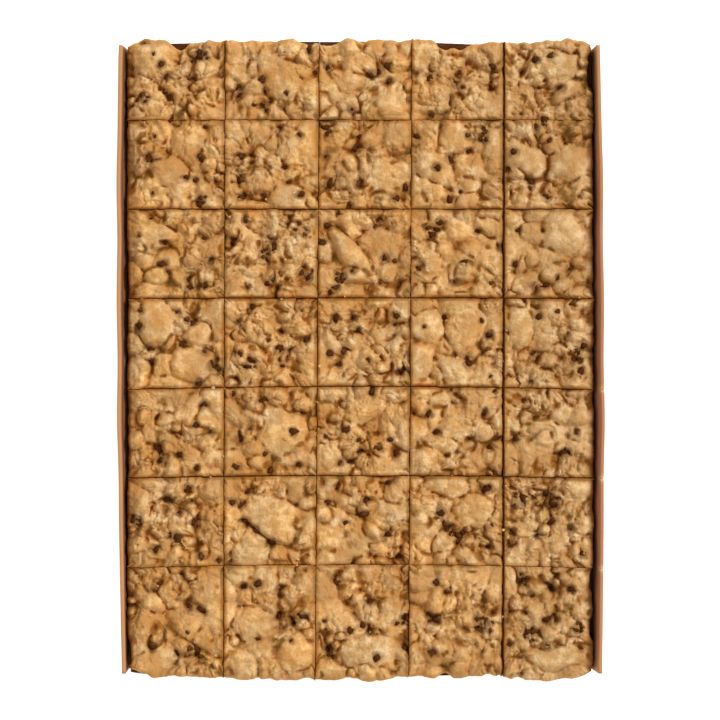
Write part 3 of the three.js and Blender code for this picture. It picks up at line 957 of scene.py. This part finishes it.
def rim_order(points):
    """Indices of a square grid's rim, anticlockwise from its near left corner."""
    index = np.arange(points * points).reshape(points, points)
    return np.concatenate([index[0, :-1], index[:-1, -1], index[-1, :0:-1], index[:0:-1, 0]])


def ring_quads(upper, lower):
    """Quads between two closed rings of indices of which the lower lies below, seen from outside."""
    return np.stack([upper, lower, np.roll(lower, -1), np.roll(upper, -1)], axis=-1)


def fan(ring, tip):
    """Triangles that close an anticlockwise ring, seen from above, from below with one point."""
    return np.stack([np.roll(ring, -1), ring, np.full_like(ring, tip)], axis=-1)


def add_piece(name, points, quads, triangles, material, values=None):
    """One smooth mesh object on the body, from arrays, with one value to a point for each named attribute."""
    mesh = bpy.data.meshes.new(name)
    corners = np.concatenate([quads.ravel(), triangles.ravel()]).astype(np.int32)
    sizes = np.concatenate([np.full(len(quads), 4), np.full(len(triangles), 3)])
    starts = np.concatenate([[0], np.cumsum(sizes)[:-1]]).astype(np.int32)
    mesh.vertices.add(len(points))
    mesh.vertices.foreach_set("co", np.ascontiguousarray(points, dtype=np.float32).ravel())
    mesh.loops.add(len(corners))
    mesh.loops.foreach_set("vertex_index", corners)
    mesh.polygons.add(len(sizes))
    mesh.polygons.foreach_set("loop_start", starts)
    mesh.polygons.foreach_set("use_smooth", np.ones(len(sizes), dtype=bool))
    for label, value in (values or {}).items():
        layer = mesh.attributes.new(label, "FLOAT", "POINT")
        layer.data.foreach_set("value", np.ascontiguousarray(value, dtype=np.float32))
    mesh.update(calc_edges=True)
    if mesh.validate():
        raise RuntimeError(f"{name} has faces that don't hold together")
    mesh.materials.append(material)
    piece = bpy.data.objects.new(name, mesh)
    bpy.context.scene.collection.objects.link(piece)
    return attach(piece, BODY)


def square_rim(points):
    """Shares u and v of the points on a square grid, and the order of its rim."""
    steps = np.linspace(0, 1, points)
    return *flat_grid(steps, steps), rim_order(points)


def side_values(points, sides):
    """One value for each rim point, from the values of the four sides (near, right, far, left)."""
    return np.repeat(sides, points - 1)


def pits(x, y, z, depth, salt):
    """Depth of the pits in a cut face, from 0 to depth, by noise along the face and up it."""
    mean, *spreads = PIT_SHARES
    waves = [noise(x + y, z, length, salt + step) for step, length in enumerate(PIT_LENGTHS)]
    return depth * (mean + sum(spread * wave for spread, wave in zip(spreads, waves)))


def square_outside(column, row):
    """Whether each side of a square (near, right, far, left) is on the slab's outside."""
    return row == ROWS - 1, column == COLUMNS - 1, row == 0, column == 0


def square_kerfs(slab, column, row):
    """Half of each cut around a square (near, right, far, left), which is nothing at the slab's outside."""
    return (
        half_kerf(slab.row_kerfs, row + 1),
        half_kerf(slab.column_kerfs, column + 1),
        half_kerf(slab.row_kerfs, row),
        half_kerf(slab.column_kerfs, column),
    )


def close_square(top, rings):
    """Points, quads and triangles of a closed block: a top grid, rings from its rim down and a fan below."""
    points = int(np.sqrt(len(top)))
    middle = rings[-1].mean(0)
    total = len(top) + sum(len(ring) for ring in rings)
    quads = [grid_quads(points, points)]
    upper = rim_order(points)
    for place, ring in enumerate(rings):
        lower = len(top) + place * len(ring) + np.arange(len(ring))
        quads.append(ring_quads(upper, lower))
        upper = lower
    return np.concatenate([top, *rings, middle[None]]), np.concatenate(quads), fan(upper, total)


def cut_opening(dough, kerf, x, y):
    """How far a cut stands open along its length, from 0 to 1: more if it is wide, and changing by noise."""
    wander = CLOSING_WANDER * double_noise(x, y, CLOSING_NOISE, CLOSING_SALT)
    return np.clip((kerf - dough.cut_shut) / (dough.cut_open - dough.cut_shut) + wander, 0, 1)


def close_by(things, x, y):
    """The lumps or chips that may show among these places."""
    return things[np.hypot(things.x - x.mean(), things.y - y.mean()) < LUMP_REACH]


def cookie_layer(scene, lumps, chips, outline, column, row):
    """Points, faces and values of one square's cookie layer.

    The top is the dough's surface over the square. From its rim a quarter round turns down into a pitted
    wall that ends a little under the brownie's top. The round is crisper at wide cuts. Painted shade deepens
    on the way down, also beside the card, and the cut walls below it get painted shade and are smeared with
    chocolate.
    """
    slab, dough = scene.brookie_slab, scene.brookie_dough
    u, v, rim = square_rim(COOKIE_POINTS)
    outsides = square_outside(column, row)
    kerfs = square_kerfs(slab, column, row)
    rounds = [dough.outer_round if outside else dough.cut_round for outside in outsides]
    x, y = square_point(slab, column, row, u, v, rounds, outline)
    height, crease_brown_and_shade, toast = dough_surface(slab, dough, close_by(lumps, x, y), x, y)
    socket, stain_and_shade = chip_marks(close_by(chips, x, y), x, y)
    top = stacked(x, y, height - socket)
    x, y = x[rim], y[rim]
    outside = side_values(COOKIE_POINTS, outsides)
    cut_width = 2 * side_values(COOKIE_POINTS, kerfs)
    opened = cut_opening(dough, cut_width, x, y)
    wide = ease(*WIDE_CUT, cut_width)
    softness = blend(1, WIDE_CUT_SOFTNESS, wide)
    rim_round = np.where(outside, dough.outer_round, softness * blend(*dough.cut_sink, opened))
    ragged = np.where(outside, dough.outer_ragged, dough.ragged)
    lowest = layer_height(slab, x, y) - LAYER_OVERLAP
    closed = [kerf * (1 - opened) for kerf in kerfs]

    def widened(kerf, shut, fall):
        """How far a wall swells into its cut, from the shut part at the edge to the whole cut below it."""
        return blend(shut, kerf, ease(0, 1, fall / (dough.cut_depth * 2 * kerf))) if kerf else 0

    rings = []
    for turn in np.linspace(0, pi / 2, ROUND_STEPS + 1)[1:]:
        out = np.sin(turn)
        z = np.maximum(top[rim, 2] - rim_round * (1 - np.cos(turn)), lowest + LEAST_WALL)
        depth = pits(x, y, z, ragged, RAGGED_SALT) * out
        insets = [size * (1 - out) + depth - shut * out for size, shut in zip(rounds, closed)]
        rings.append(stacked(*square_point(slab, column, row, u[rim], v[rim], insets, outline), z))
    edge = rings[-1][:, 2]
    for share in WALL_SHARES:
        z = blend(edge, lowest, share)
        depth = pits(x, y, z, ragged, RAGGED_SALT)
        insets = [depth - widened(kerf, shut, edge - z) for kerf, shut in zip(kerfs, closed)]
        rings.append(stacked(*square_point(slab, column, row, u[rim], v[rim], insets, outline), z))
    points, quads, triangles = close_square(top, rings)
    # Painted shade: the darkness deepens down the rounding, beside the card and on the cut walls, which
    # chocolate also smears
    beside_card = side_values(COOKIE_POINTS, (False, column == COLUMNS - 1, False, column == 0))
    cut_crease = softness * blend(*CUT_CREASE, opened)
    rim_crease = np.where(outside, OUTER_CREASE * crease_brown_and_shade[rim], cut_crease)
    rim_crease = np.where(beside_card, CARD_SIDE_CREASE, rim_crease)
    step = np.arange(1, len(rings) + 1)[:, None]
    deepening = np.minimum(2 * step / ROUND_STEPS, 1)
    smeared = np.where(outside, 0, 1) * (step > ROUND_STEPS)
    deepened = blend(crease_brown_and_shade[rim], rim_crease, deepening)
    wall_crease = np.maximum(deepened, blend(*CUT_WALL_SHADE, wide) * smeared)
    wall_stain = np.maximum(WALL_STAIN * stain_and_shade[rim], blend(*SMEARED_STAIN, wide) * smeared)
    wall_toast = np.tile((1 + toast[rim]) / 2, len(rings))
    values = {
        "crease_brown_and_shade": np.concatenate([crease_brown_and_shade, wall_crease.ravel(), [0]]),
        "toast": np.concatenate([toast, wall_toast, [0]]),
        "stain_and_shade": np.concatenate([stain_and_shade, wall_stain.ravel(), [0]]),
    }
    return points, quads, triangles, values


def brownie_layer(scene, column, row):
    """Points and faces of one square's brownie layer: a nearly flat top, pitted walls and a flat bottom."""
    slab, dough = scene.brookie_slab, scene.brookie_dough
    u, v, rim = square_rim(BROWNIE_POINTS)
    sides = zip(square_outside(column, row), square_kerfs(slab, column, row))
    bulges = [slab.brownie_bulge if outside else kerf for outside, kerf in sides]
    x, y = square_point(slab, column, row, u, v, [BROWNIE_ROUND] * 4)
    top = stacked(x, y, layer_height(slab, x, y))
    rings = []
    for turn in np.linspace(0, pi / 2, ROUND_STEPS)[1:]:
        z = top[rim, 2] - BROWNIE_ROUND * (1 - np.cos(turn))
        insets = [BROWNIE_ROUND * (1 - np.sin(turn))] * 4
        rings.append(stacked(*square_point(slab, column, row, u[rim], v[rim], insets), z))
    edge = rings[-1][:, 2]
    for share in np.linspace(0, 1, BROWNIE_STEPS)[1:]:
        z = blend(edge, SQUARE_BOTTOM, share)
        belly = np.sin(pi * share) ** 0.5
        depth = pits(x[rim], y[rim], z, dough.ragged, RAGGED_SALT + 2) * belly
        insets = [depth - bulge * belly for bulge in bulges]
        rings.append(stacked(*square_point(slab, column, row, u[rim], v[rim], insets), z))
    return close_square(top, rings)


def round_shape(radii, heights, ends, around):
    """Points, quads and triangles of a small shape turned about Z: rings, closed by one point at each end."""
    angle = np.arange(around) * 2 * pi / around
    radii, heights = np.array(radii)[:, None], np.array(heights)[:, None]
    rings = stacked(radii * np.cos(angle), radii * np.sin(angle), heights).reshape(-1, 3)
    points = np.concatenate([rings, [(0, 0, end) for end in ends]])
    index = np.arange(len(rings)).reshape(-1, around)
    quads = np.concatenate([ring_quads(upper, lower) for lower, upper in zip(index, index[1:])])
    base = fan(index[0], len(rings))
    tip = fan(index[-1], len(rings) + 1)[:, ::-1]
    return points, quads, np.concatenate([base, tip])


def scatter(shape, places, sizes, turns, tilts, dent, salt):
    """Copies of one shape as one mesh, dented by draws, sized, tilted about X, turned about Z and moved."""
    points, quads, triangles = shape
    copies = len(places)
    copy, corner = np.meshgrid(np.arange(copies), np.arange(len(points)), indexing="ij")
    swell = 1 + dent * (draw(copy, corner, salt) - 0.5)
    stretch = 1 + dent * (draw(np.arange(copies)[:, None], np.arange(3), salt + 1) - 0.5)
    local = points[None] * swell[..., None] * (sizes[:, None] * stretch)[:, None]
    x, y, z = np.moveaxis(local, -1, 0)
    y, z = turned(y, z, tilts[:, None])
    x, y = turned(x, y, turns[:, None])
    moved = stacked(x, y, z) + places[:, None]
    offsets = np.arange(copies)[:, None, None] * len(points)
    return moved.reshape(-1, 3), (quads + offsets).reshape(-1, 4), (triangles + offsets).reshape(-1, 3)


def crumb_places(scene, lumps):
    """Where loose crumbs lie: a few near the long cuts, as many near the cross cuts, the rest all over."""
    slab, count = scene.brookie_slab, scene.brookie_chips.crumbs
    number = np.arange(count)
    pick = draws(number, 0, CRUMB_SALT, 7)
    x = slab.shift + (pick[0] - 0.5) * CRUMB_SPREAD * slab.width
    y = (pick[1] - 0.5) * CRUMB_SPREAD * slab.length
    kind = number % CRUMB_KINDS
    aside = (pick[6] - 0.5) * CRUMB_ASIDE
    line = np.floor(pick[2] * (COLUMNS - 1)).astype(int) + 1
    for cut in range(1, COLUMNS):
        x = np.where((kind == 0) & (line == cut), column_line(slab, cut, y) + aside, x)
    line = np.floor(pick[2] * (ROWS - 1)).astype(int) + 1
    for cut in range(1, ROWS):
        y = np.where((kind == 1) & (line == cut), row_line(slab, cut, x) + aside, y)
    size = blend(*CRUMB_SIZES, pick[3] ** 2) * MM
    height = dough_surface(slab, scene.brookie_dough, lumps, x, y)[0]
    return stacked(x, y, height - CRUMB_SINK * size), size, 2 * pi * pick[4], 2 * pi * pick[5]


def card_mesh(scene):
    """Points, faces and values of the folded card: a bent band with two faces, carried along y.

    The band runs from the left rim down to the fold, across and up to the right rim. Each rim bows out as a
    parabola along y, its height dips in a wedge at each nick, and its last millimetre is rounded by a
    shrinking thickness. The right side is darkened by greasy patches and painted shade, less on its outer
    face below the rim. The rim is torn beside the nicks, and the left side is darkened inside, a little under
    its rim, by staining and painted shade.
    """
    card, slab = scene.brookie_card, scene.brookie_slab
    nicks = [row_line(slab, line, card.right_half_span) for line in NICKED_CUTS]
    spread = np.linspace(-1, 1, NICK_STATIONS) * NICK_SPREAD * card.nick_width
    even = np.linspace(-0.5, 0.5, CARD_STATIONS) * card.length
    y = np.unique(np.round(np.concatenate([even] + [line + spread for line in nicks]), 6))
    t = y / (card.length / 2)
    swell = card.rim_bow * (1 - t**2)
    nick = sum(np.clip(1 - np.abs(y - line) / (card.nick_width / 2), 0, 1) for line in nicks)
    torn = sum(bell(y - line, TORN_WIDTH) for line in nicks)
    climb = CARD_CLIMB[:, None]
    taper = np.ones_like(climb)
    taper[:len(RIM_TAPER), 0] = RIM_TAPER

    def wave(side, rise, length, salt):
        """A wandering of one side along y."""
        return rise * MM * noise(y, side * MM, length * MM, salt)

    def wall(side, rim, depth):
        """Inner and outer face of one standing side, from its rim down."""
        top = CARD_TOP - depth - RIM_DROP
        for step, (rise, length) in enumerate(RIM_WAVES):
            top = top + wave(side, rise, length, CARD_SALT + step)
        rim = rim + wave(side, *SIDE_WAVE, CARD_SALT + len(RIM_WAVES))
        thin = (1 - taper) * card.side / 2
        inner = blend(card.foot_half_span, rim - card.side, climb) + thin
        outer = blend(card.foot_half_span + card.side, rim, climb) - thin
        return side * inner, blend(card.base, top, climb), side * outer, blend(card.fold_chamfer, top, climb)

    def across(left, base, right):
        """Values from the left rim down, over the base and up to the right rim."""
        return np.concatenate([left, base, right[::-1]])

    def around(outer, inner):
        """Values on the outer face, and back on the inner one."""
        return np.concatenate([outer, inner[::-1]])

    left = wall(-1, card.left_half_span + swell + card.left_lean * t, 0 * y)
    right = wall(1, card.right_half_span + swell + card.right_lean * t, card.nick_depth * nick)
    flat = np.linspace(-1, 1, BASE_POINTS)[1:-1, None] * np.ones_like(y)
    reach = card.foot_half_span + card.side - card.fold_chamfer
    inner_x = across(left[0], card.foot_half_span * flat, right[0])
    inner_z = across(left[1], np.full_like(flat, card.base), right[1])
    outer_x = across(left[2], reach * flat, right[2])
    outer_z = across(left[3], 0 * flat, right[3])
    outer_x[len(climb)] = -reach
    outer_x[-len(climb) - 1] = reach
    points = stacked(around(outer_x, inner_x), y, around(outer_z, inner_z))
    corners, sections = points.shape[:2]
    points = np.swapaxes(points, 0, 1).reshape(-1, 3)
    index = np.arange(corners * sections).reshape(sections, corners)
    turned_index = np.roll(index, -1, axis=1)
    sides = (index[:-1], index[1:], turned_index[1:], turned_index[:-1])
    quads = [np.stack(sides, axis=-1).reshape(-1, 4)]
    half = np.arange(corners // 2)
    for section, order in ((index[0], 1), (index[-1], -1)):
        outer, inner = section[half], section[::-1][half]
        cap = np.stack([outer[:-1], outer[1:], inner[1:], inner[:-1]], axis=-1)
        quads.append(cap[:, ::order])
    nothing = 0 * CARD_CLIMB
    on_base = 0 * flat[:, 0]
    near_rim = across(CARD_CLIMB**RIM_POWER, on_base, CARD_CLIMB**RIM_POWER)
    on_right = across(nothing, on_base, nothing + 1)
    # Greasy patches and painted shade darken the right side's middle stretch
    greased_and_shaded = on_right[:, None] * ease(*GREASE_AND_SHADE_FAR, -t) * ease(*GREASE_AND_SHADE_NEAR, t)
    greased_and_shaded_outside = greased_and_shaded * blend(GREASE_AND_SHADE_OUTSIDE, 1, near_rim)[:, None]
    frayed = (near_rim * on_right)[:, None] * torn
    # Staining and painted shade inside the left side, a little under its rim
    under_rim = ease(*STAIN_AND_SHADE_FROM_RIM, CARD_CLIMB) * ease(*STAIN_AND_SHADE_FROM_FOLD, CARD_CLIMB)
    stained_and_shaded = across(under_rim, on_base, nothing)
    values = {
        "grease_and_shade": around(greased_and_shaded_outside, greased_and_shaded).T.ravel(),
        "torn": around(frayed, frayed).T.ravel(),
        "stain_and_shade": np.tile(around(0 * stained_and_shaded, stained_and_shaded), sections),
    }
    return points, np.concatenate(quads), np.zeros((0, 3), int), values


class Paint:
    """A new material with a principled shader, and makers of the nodes that feed it."""

    def __init__(self, name, roughness, specular):
        self.material = bpy.data.materials.new(name)
        self.material.use_nodes = True
        self.tree = self.material.node_tree
        self.shader = self.tree.nodes["Principled BSDF"].inputs
        self.shader["Roughness"].default_value = roughness
        self.shader["Specular IOR Level"].default_value = specular
        self.place = self.node("ShaderNodeTexCoord").outputs["Object"]

    def node(self, kind, inputs=None, **settings):
        """One node, with its settings and with values or links for its sockets."""
        node = self.tree.nodes.new(kind)
        for name, value in settings.items():
            setattr(node, name, value)
        for name, value in (inputs or {}).items():
            if isinstance(value, bpy.types.NodeSocket):
                self.tree.links.new(value, node.inputs[name])
            else:
                node.inputs[name].default_value = value
        return node

    def feed(self, socket, value):
        """Link a value to the shader."""
        self.tree.links.new(value, self.shader[socket])

    def attribute(self, name):
        """The mesh's own value of that name at each point."""
        return self.node("ShaderNodeAttribute", attribute_name=name).outputs["Fac"]

    def noise(self, length, detail, place=None):
        """Noise from 0 to 1 with bumps of about one length, in millimetres."""
        place = self.place if place is None else place
        inputs = {"Vector": place, "Scale": 1 / (length * MM), "Detail": detail, "Roughness": 0.6}
        return self.node("ShaderNodeTexNoise", inputs).outputs["Fac"]

    def remap(self, value, low, high, out_low=0.0, out_high=1.0):
        """The value's range from low to high stretched to another range, by a smooth step."""
        inputs = {"Value": value, "From Min": low, "From Max": high, "To Min": out_low, "To Max": out_high}
        return self.node("ShaderNodeMapRange", inputs, interpolation_type="SMOOTHSTEP").outputs["Result"]

    def times(self, first, second):
        """Two values multiplied."""
        return self.node("ShaderNodeMath", {0: first, 1: second}, operation="MULTIPLY").outputs["Value"]

    def mix(self, share, first, second, kind="MIX"):
        """Two colours mixed by a share. A setting's colour covers fully."""
        inputs = {"Fac": share}
        for name, colour in (("Color1", first), ("Color2", second)):
            inputs[name] = colour if isinstance(colour, bpy.types.NodeSocket) else (*colour, 1.0)
        return self.node("ShaderNodeMixRGB", inputs, blend_type=kind).outputs["Color"]

    def layers(self, under, *covers):
        """Colours laid over one another, each where all its masks show.

        A mask is a value, or a row of a value and the ranges that remap takes.
        """
        for colour, *masks in covers:
            shares = [self.remap(*mask) if isinstance(mask, tuple) else mask for mask in masks]
            share = shares[0]
            for other in shares[1:]:
                share = self.times(share, other)
            under = self.mix(share, under, colour)
        return under

    def bump(self, height, distance, strength):
        """Fine relief of the shading, from a height of 0 to 1 over a distance in millimetres."""
        inputs = {"Height": height, "Distance": distance * MM, "Strength": strength}
        self.feed("Normal", self.node("ShaderNodeBump", inputs).outputs["Normal"])


def dough_material(colours):
    """Cookie dough: pale, cream and toasted patches, fine grain and specks, and painted shade with some
    browning in the creases, darker in the cracks.

    Some creases get a dull olive painted shade, partly smudges, and chocolate is smeared around the chips.
    The hue is warmer in patches, and duller on the slab's right side.
    """
    paint = Paint("cookie dough", 0.8, 0.08)
    toast, crease_brown_and_shade, stain_and_shade = (paint.attribute(name) for name in ("toast", "crease_brown_and_shade", "stain_and_shade"))
    mottle = paint.noise(6.5, 3)
    grain = paint.noise(1.5, 2)
    patches = paint.noise(17, 3)
    casts = paint.noise(22, 5)
    cells = paint.node("ShaderNodeTexVoronoi", {"Vector": paint.place, "Scale": 1 / (3.6 * MM)})
    specks = cells.outputs["Distance"]
    across = paint.node("ShaderNodeSeparateXYZ", {"Vector": paint.place}).outputs["X"]
    tint = paint.layers(
        colours.dough,
        (colours.dough_pale, (mottle, 0.36, 0.68)),
        (colours.dough_cream, (patches, 0.58, 0.40), (mottle, 0.45, 0.65, 0, 0.45)),
        (colours.dough_toast, (patches, 0.30, 0.60, 0.25, 1), (toast, 0.25, 0.85)),
        (colours.dough_brown_and_shade, (grain, 0.62, 0.36, 0, 0.14)),
        (colours.dough_brown_and_shade, (specks, 0.16, 0.07, 0, 0.4)),
        # Painted shade with some browning in the creases, deeper in the cracks
        (colours.dough_brown_and_shade, (crease_brown_and_shade, 0.1, 0.8, 0, 0.7)),
        (colours.crack_brown_and_shade, (crease_brown_and_shade, 0.5, 0.95, 0, 0.8)),
        # Dull olive painted shade in the creases, partly smudges, in patches
        (colours.smudge_and_shade, (patches, 0.50, 0.62), (crease_brown_and_shade, 0.15, 0.6, 0, 0.6)),
        (colours.smear, (stain_and_shade, 0.2, 1, 0, 0.75), (mottle, 0.3, 0.6, 0.3, 1)),
    )
    less_on_right = (across, 50 * MM, 130 * MM, 1, 0.1)
    cast = paint.layers(colours.cool_cast, (colours.warm_cast, (casts, 0.34, 0.66), less_on_right))
    paint.feed("Base Color", paint.mix(1.0, tint, cast, "MULTIPLY"))
    relief = paint.node("ShaderNodeMath", {0: mottle, 1: 0.6, 2: grain}, operation="MULTIPLY_ADD")
    paint.bump(relief.outputs["Value"], 1.1, 0.46)
    return paint.material


def brownie_material(colours):
    """Brownie: dark moist crumb with drier crusty patches and small pores."""
    paint = Paint("brownie", 0.65, 0.08)
    crumb = paint.noise(1.6, 4)
    patches = paint.noise(8, 3)
    crusty = (colours.brownie_crust, (crumb, 0.4, 0.7), (patches, 0.35, 0.7))
    paint.feed("Base Color", paint.layers(colours.brownie, crusty))
    paint.feed("Roughness", paint.remap(patches, 0.3, 0.7, 0.45, 0.75))
    paint.bump(crumb, 1.2, 0.9)
    return paint.material


def chocolate_material(colours):
    """Chips: dark chocolate with a dull skin and dusty patches, more on some chips than on others."""
    paint = Paint("chocolate", 0.6, 0.08)
    dust = paint.noise(2.2, 4)
    dusty = (colours.chocolate_bloom, (dust, 0.4, 0.7), (paint.attribute("tone"), 0.5, 1, 0.1, 1))
    paint.feed("Base Color", paint.layers(colours.chocolate, dusty))
    paint.feed("Roughness", paint.remap(dust, 0.35, 0.7, 0.45, 0.8))
    paint.bump(dust, 0.4, 0.6)
    return paint.material


def card_material(colours):
    """Brown card: fibres along its length, specks, greasy patches and painted shade on the right, staining
    and painted shade inside the left, and paler torn edges.
    """
    paint = Paint("kraft card", 0.85, 0.25)
    stretched = paint.node("ShaderNodeMapping", {"Vector": paint.place, "Scale": (1, 0.12, 1)})
    fibres = paint.noise(1.4, 5, stretched.outputs["Vector"])
    specks = paint.noise(2.4, 2)
    clouds = paint.noise(30, 2)
    tint = paint.layers(
        colours.card,
        # Greasy patches and painted shade on the right side
        (colours.card_grease_and_shade, paint.attribute("grease_and_shade"), (clouds, 0.25, 0.6, 0.6, 1)),
        (colours.card_grease_and_shade, (fibres, 0.35, 0.7, 0, 0.45)),
        # Staining and painted shade inside the left side
        (colours.card_stain_and_shade, paint.times(paint.attribute("stain_and_shade"), CARD_STAIN_AND_SHADE_STRENGTH)),
        (colours.dough_brown_and_shade, (specks, 0.68, 0.76, 0, 0.5)),
        (colours.dough_pale, paint.attribute("torn")),
    )
    paint.feed("Base Color", tint)
    paint.bump(fibres, 0.25, 0.5)
    return paint.material


def floor_material(colours):
    """The pale floor, with a faint unevenness and a glow of its own."""
    paint = Paint("pale floor", 0.9, 0.1)
    tint = paint.layers(colours.floor, (colours.card, (paint.noise(300, 2), 0.3, 0.7, 0, 0.03)))
    paint.feed("Base Color", tint)
    paint.feed("Emission Color", tint)
    paint.shader["Emission Strength"].default_value = FLOOR_GLOW
    return paint.material


class BROOKIE_OT_cookie_layers(bpy.types.Operator):
    """Build the cookie layer of every square."""

    bl_idname = "brookie.cookie_layers"
    bl_label = "Cookie layers"

    def execute(self, context):
        scene = context.scene
        material = dough_material(scene.brookie_colours)
        lumps = all_lumps(scene.brookie_slab)
        chips = all_chips(scene, lumps)
        outline = dough_outline(scene.brookie_slab, scene.brookie_dough, lumps)
        for column, row, label in squares():
            points, quads, triangles, values = cookie_layer(scene, lumps, chips, outline, column, row)
            piece = add_piece(f"cookie_{label}", points, quads, triangles, material, values)
            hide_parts(f"square_{label}")
        return {"FINISHED"}


class BROOKIE_OT_brownie_layers(bpy.types.Operator):
    """Build the brownie layer of every square."""

    bl_idname = "brookie.brownie_layers"
    bl_label = "Brownie layers"

    def execute(self, context):
        scene = context.scene
        material = brownie_material(scene.brookie_colours)
        for column, row, label in squares():
            points, quads, triangles = brownie_layer(scene, column, row)
            piece = add_piece(f"brownie_{label}", points, quads, triangles, material)
            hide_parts(f"square_{label}")
        return {"FINISHED"}


class BROOKIE_OT_chips(bpy.types.Operator):
    """Build all chocolate chips as one mesh."""

    bl_idname = "brookie.chips"
    bl_label = "Chocolate chips"

    def execute(self, context):
        scene = context.scene
        slab, dough = scene.brookie_slab, scene.brookie_dough
        lumps = all_lumps(slab)
        chips = all_chips(scene, lumps)
        height = chip_heights(slab, dough, lumps, chips)
        places = stacked(chips.x, chips.y, height - chips.depth)
        shape = round_shape(*CHIP_PROFILE, CHIP_SIDES)
        points, quads, triangles = scatter(
            shape, places, chips.width, chips.turn, chips.tilt, CHIP_DENT, CHIP_DENT_SALT
        )
        tone = draw(np.arange(len(chips)), 0, CHIP_DENT_SALT + 2)
        values = {"tone": np.repeat(tone, len(points) // len(chips))}
        material = chocolate_material(scene.brookie_colours)
        add_piece("chocolate_chips", points, quads, triangles, material, values)
        return {"FINISHED"}


class BROOKIE_OT_crumbs(bpy.types.Operator):
    """Build the loose crumbs of dough as one mesh."""

    bl_idname = "brookie.crumbs"
    bl_label = "Crumbs"

    def execute(self, context):
        scene = context.scene
        lumps = all_lumps(scene.brookie_slab)
        places, sizes, turns, tilts = crumb_places(scene, lumps)
        ball = (0.5 * np.cos(CRUMB_LEVELS), 0.5 * np.sin(CRUMB_LEVELS), (-0.5, 0.5))
        shape = round_shape(*ball, CRUMB_SIDES)
        points, quads, triangles = scatter(shape, places, sizes, turns, tilts, CRUMB_DENT, CRUMB_SALT + 7)
        material = bpy.data.materials["cookie dough"]
        add_piece("dough_crumbs", points, quads, triangles, material)
        return {"FINISHED"}


class BROOKIE_OT_card(bpy.types.Operator):
    """Build the folded card liner."""

    bl_idname = "brookie.card"
    bl_label = "Card liner"

    def execute(self, context):
        scene = context.scene
        points, quads, triangles, values = card_mesh(scene)
        material = card_material(scene.brookie_colours)
        piece = add_piece("kraft_liner", points, quads, triangles, material, values)
        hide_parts("card_liner")
        return {"FINISHED"}


def add_light(name, aim, place, spread, strength):
    """A soft, even light that shines from a place towards the point it is aimed at."""
    data = bpy.data.lights.new(name, "SUN")
    data.angle = radians(spread)
    data.energy = strength
    light = bpy.data.objects.new(name, data)
    light.location = place
    light.rotation_euler = (light.location - aim).to_track_quat("Z", "Y").to_euler()
    bpy.context.scene.collection.objects.link(light)
    return light


class BROOKIE_OT_stage(bpy.types.Operator):
    """Set the floor, the light and the camera."""

    bl_idname = "brookie.stage"
    bl_label = "Stage"

    def execute(self, context):
        scene = context.scene
        middle = (CAD_LOW + CAD_HIGH) / 2
        turns = ((-1, -1), (1, -1), (1, 1), (-1, 1))
        mesh = bpy.data.meshes.new("pale_floor")
        mesh.from_pydata([(x * FLOOR_HALF, y * FLOOR_HALF, 0) for x, y in turns], [], [(0, 1, 2, 3)])
        mesh.materials.append(floor_material(scene.brookie_colours))
        floor = bpy.data.objects.new("pale_floor", mesh)
        scene.collection.objects.link(floor)
        key = add_light("key_light", middle, **KEY_LIGHT)
        fill = add_light("fill_light", middle, **FILL_LIGHT)
        world = bpy.data.worlds.new("soft studio")
        world.use_nodes = True
        background = world.node_tree.nodes["Background"].inputs
        background["Color"].default_value = WORLD_COLOUR
        background["Strength"].default_value = WORLD_STRENGTH
        scene.world = world
        scene.view_settings.view_transform = "Standard"
        data = bpy.data.cameras.new("camera")
        data.lens = data.sensor_width * CAMERA_DISTANCE / FRAMED_WIDTH
        camera = bpy.data.objects.new("camera", data)
        camera.location = (0, CAMERA_SHIFT, FRAMED_HEIGHT + CAMERA_DISTANCE)
        scene.collection.objects.link(camera)
        scene.camera = camera
        return {"FINISHED"}


class BROOKIE_PT_panel(bpy.types.Panel):
    """The add-on's panel in the sidebar."""

    bl_idname = "BROOKIE_PT_panel"
    bl_label = "Brookie traybake"
    bl_space_type = "VIEW_3D"
    bl_region_type = "UI"
    bl_category = "Brookie"

    def draw(self, context):
        for operator in OPERATORS:
            self.layout.operator(operator.bl_idname)
        for pointer, group in SETTINGS.items():
            box = self.layout.box()
            for name in group.__annotations__:
                box.prop(getattr(context.scene, pointer), name)


SETTINGS = {
    "brookie_slab": SlabSettings,
    "brookie_dough": DoughSettings,
    "brookie_chips": ChipSettings,
    "brookie_card": CardSettings,
    "brookie_colours": ColourSettings,
}
OPERATORS = (
    BROOKIE_OT_cookie_layers,
    BROOKIE_OT_brownie_layers,
    BROOKIE_OT_chips,
    BROOKIE_OT_crumbs,
    BROOKIE_OT_card,
    BROOKIE_OT_stage,
)


def register():
    """Register the settings, the operators and the panel."""
    for pointer, group in SETTINGS.items():
        bpy.utils.register_class(group)
        setattr(bpy.types.Scene, pointer, PointerProperty(type=group))
    for operator in (*OPERATORS, BROOKIE_PT_panel):
        bpy.utils.register_class(operator)


def unregister():
    """Remove them again, last first."""
    for operator in (BROOKIE_PT_panel, *reversed(OPERATORS)):
        bpy.utils.unregister_class(operator)
    for pointer, group in reversed(SETTINGS.items()):
        delattr(bpy.types.Scene, pointer)
        bpy.utils.unregister_class(group)


def main():
    """Build every piece in order."""
    register()
    bpy.ops.brookie.cookie_layers()
    bpy.ops.brookie.brownie_layers()
    bpy.ops.brookie.chips()
    bpy.ops.brookie.crumbs()
    bpy.ops.brookie.card()
    bpy.ops.brookie.stage()


if __name__ == "__main__":
    main()
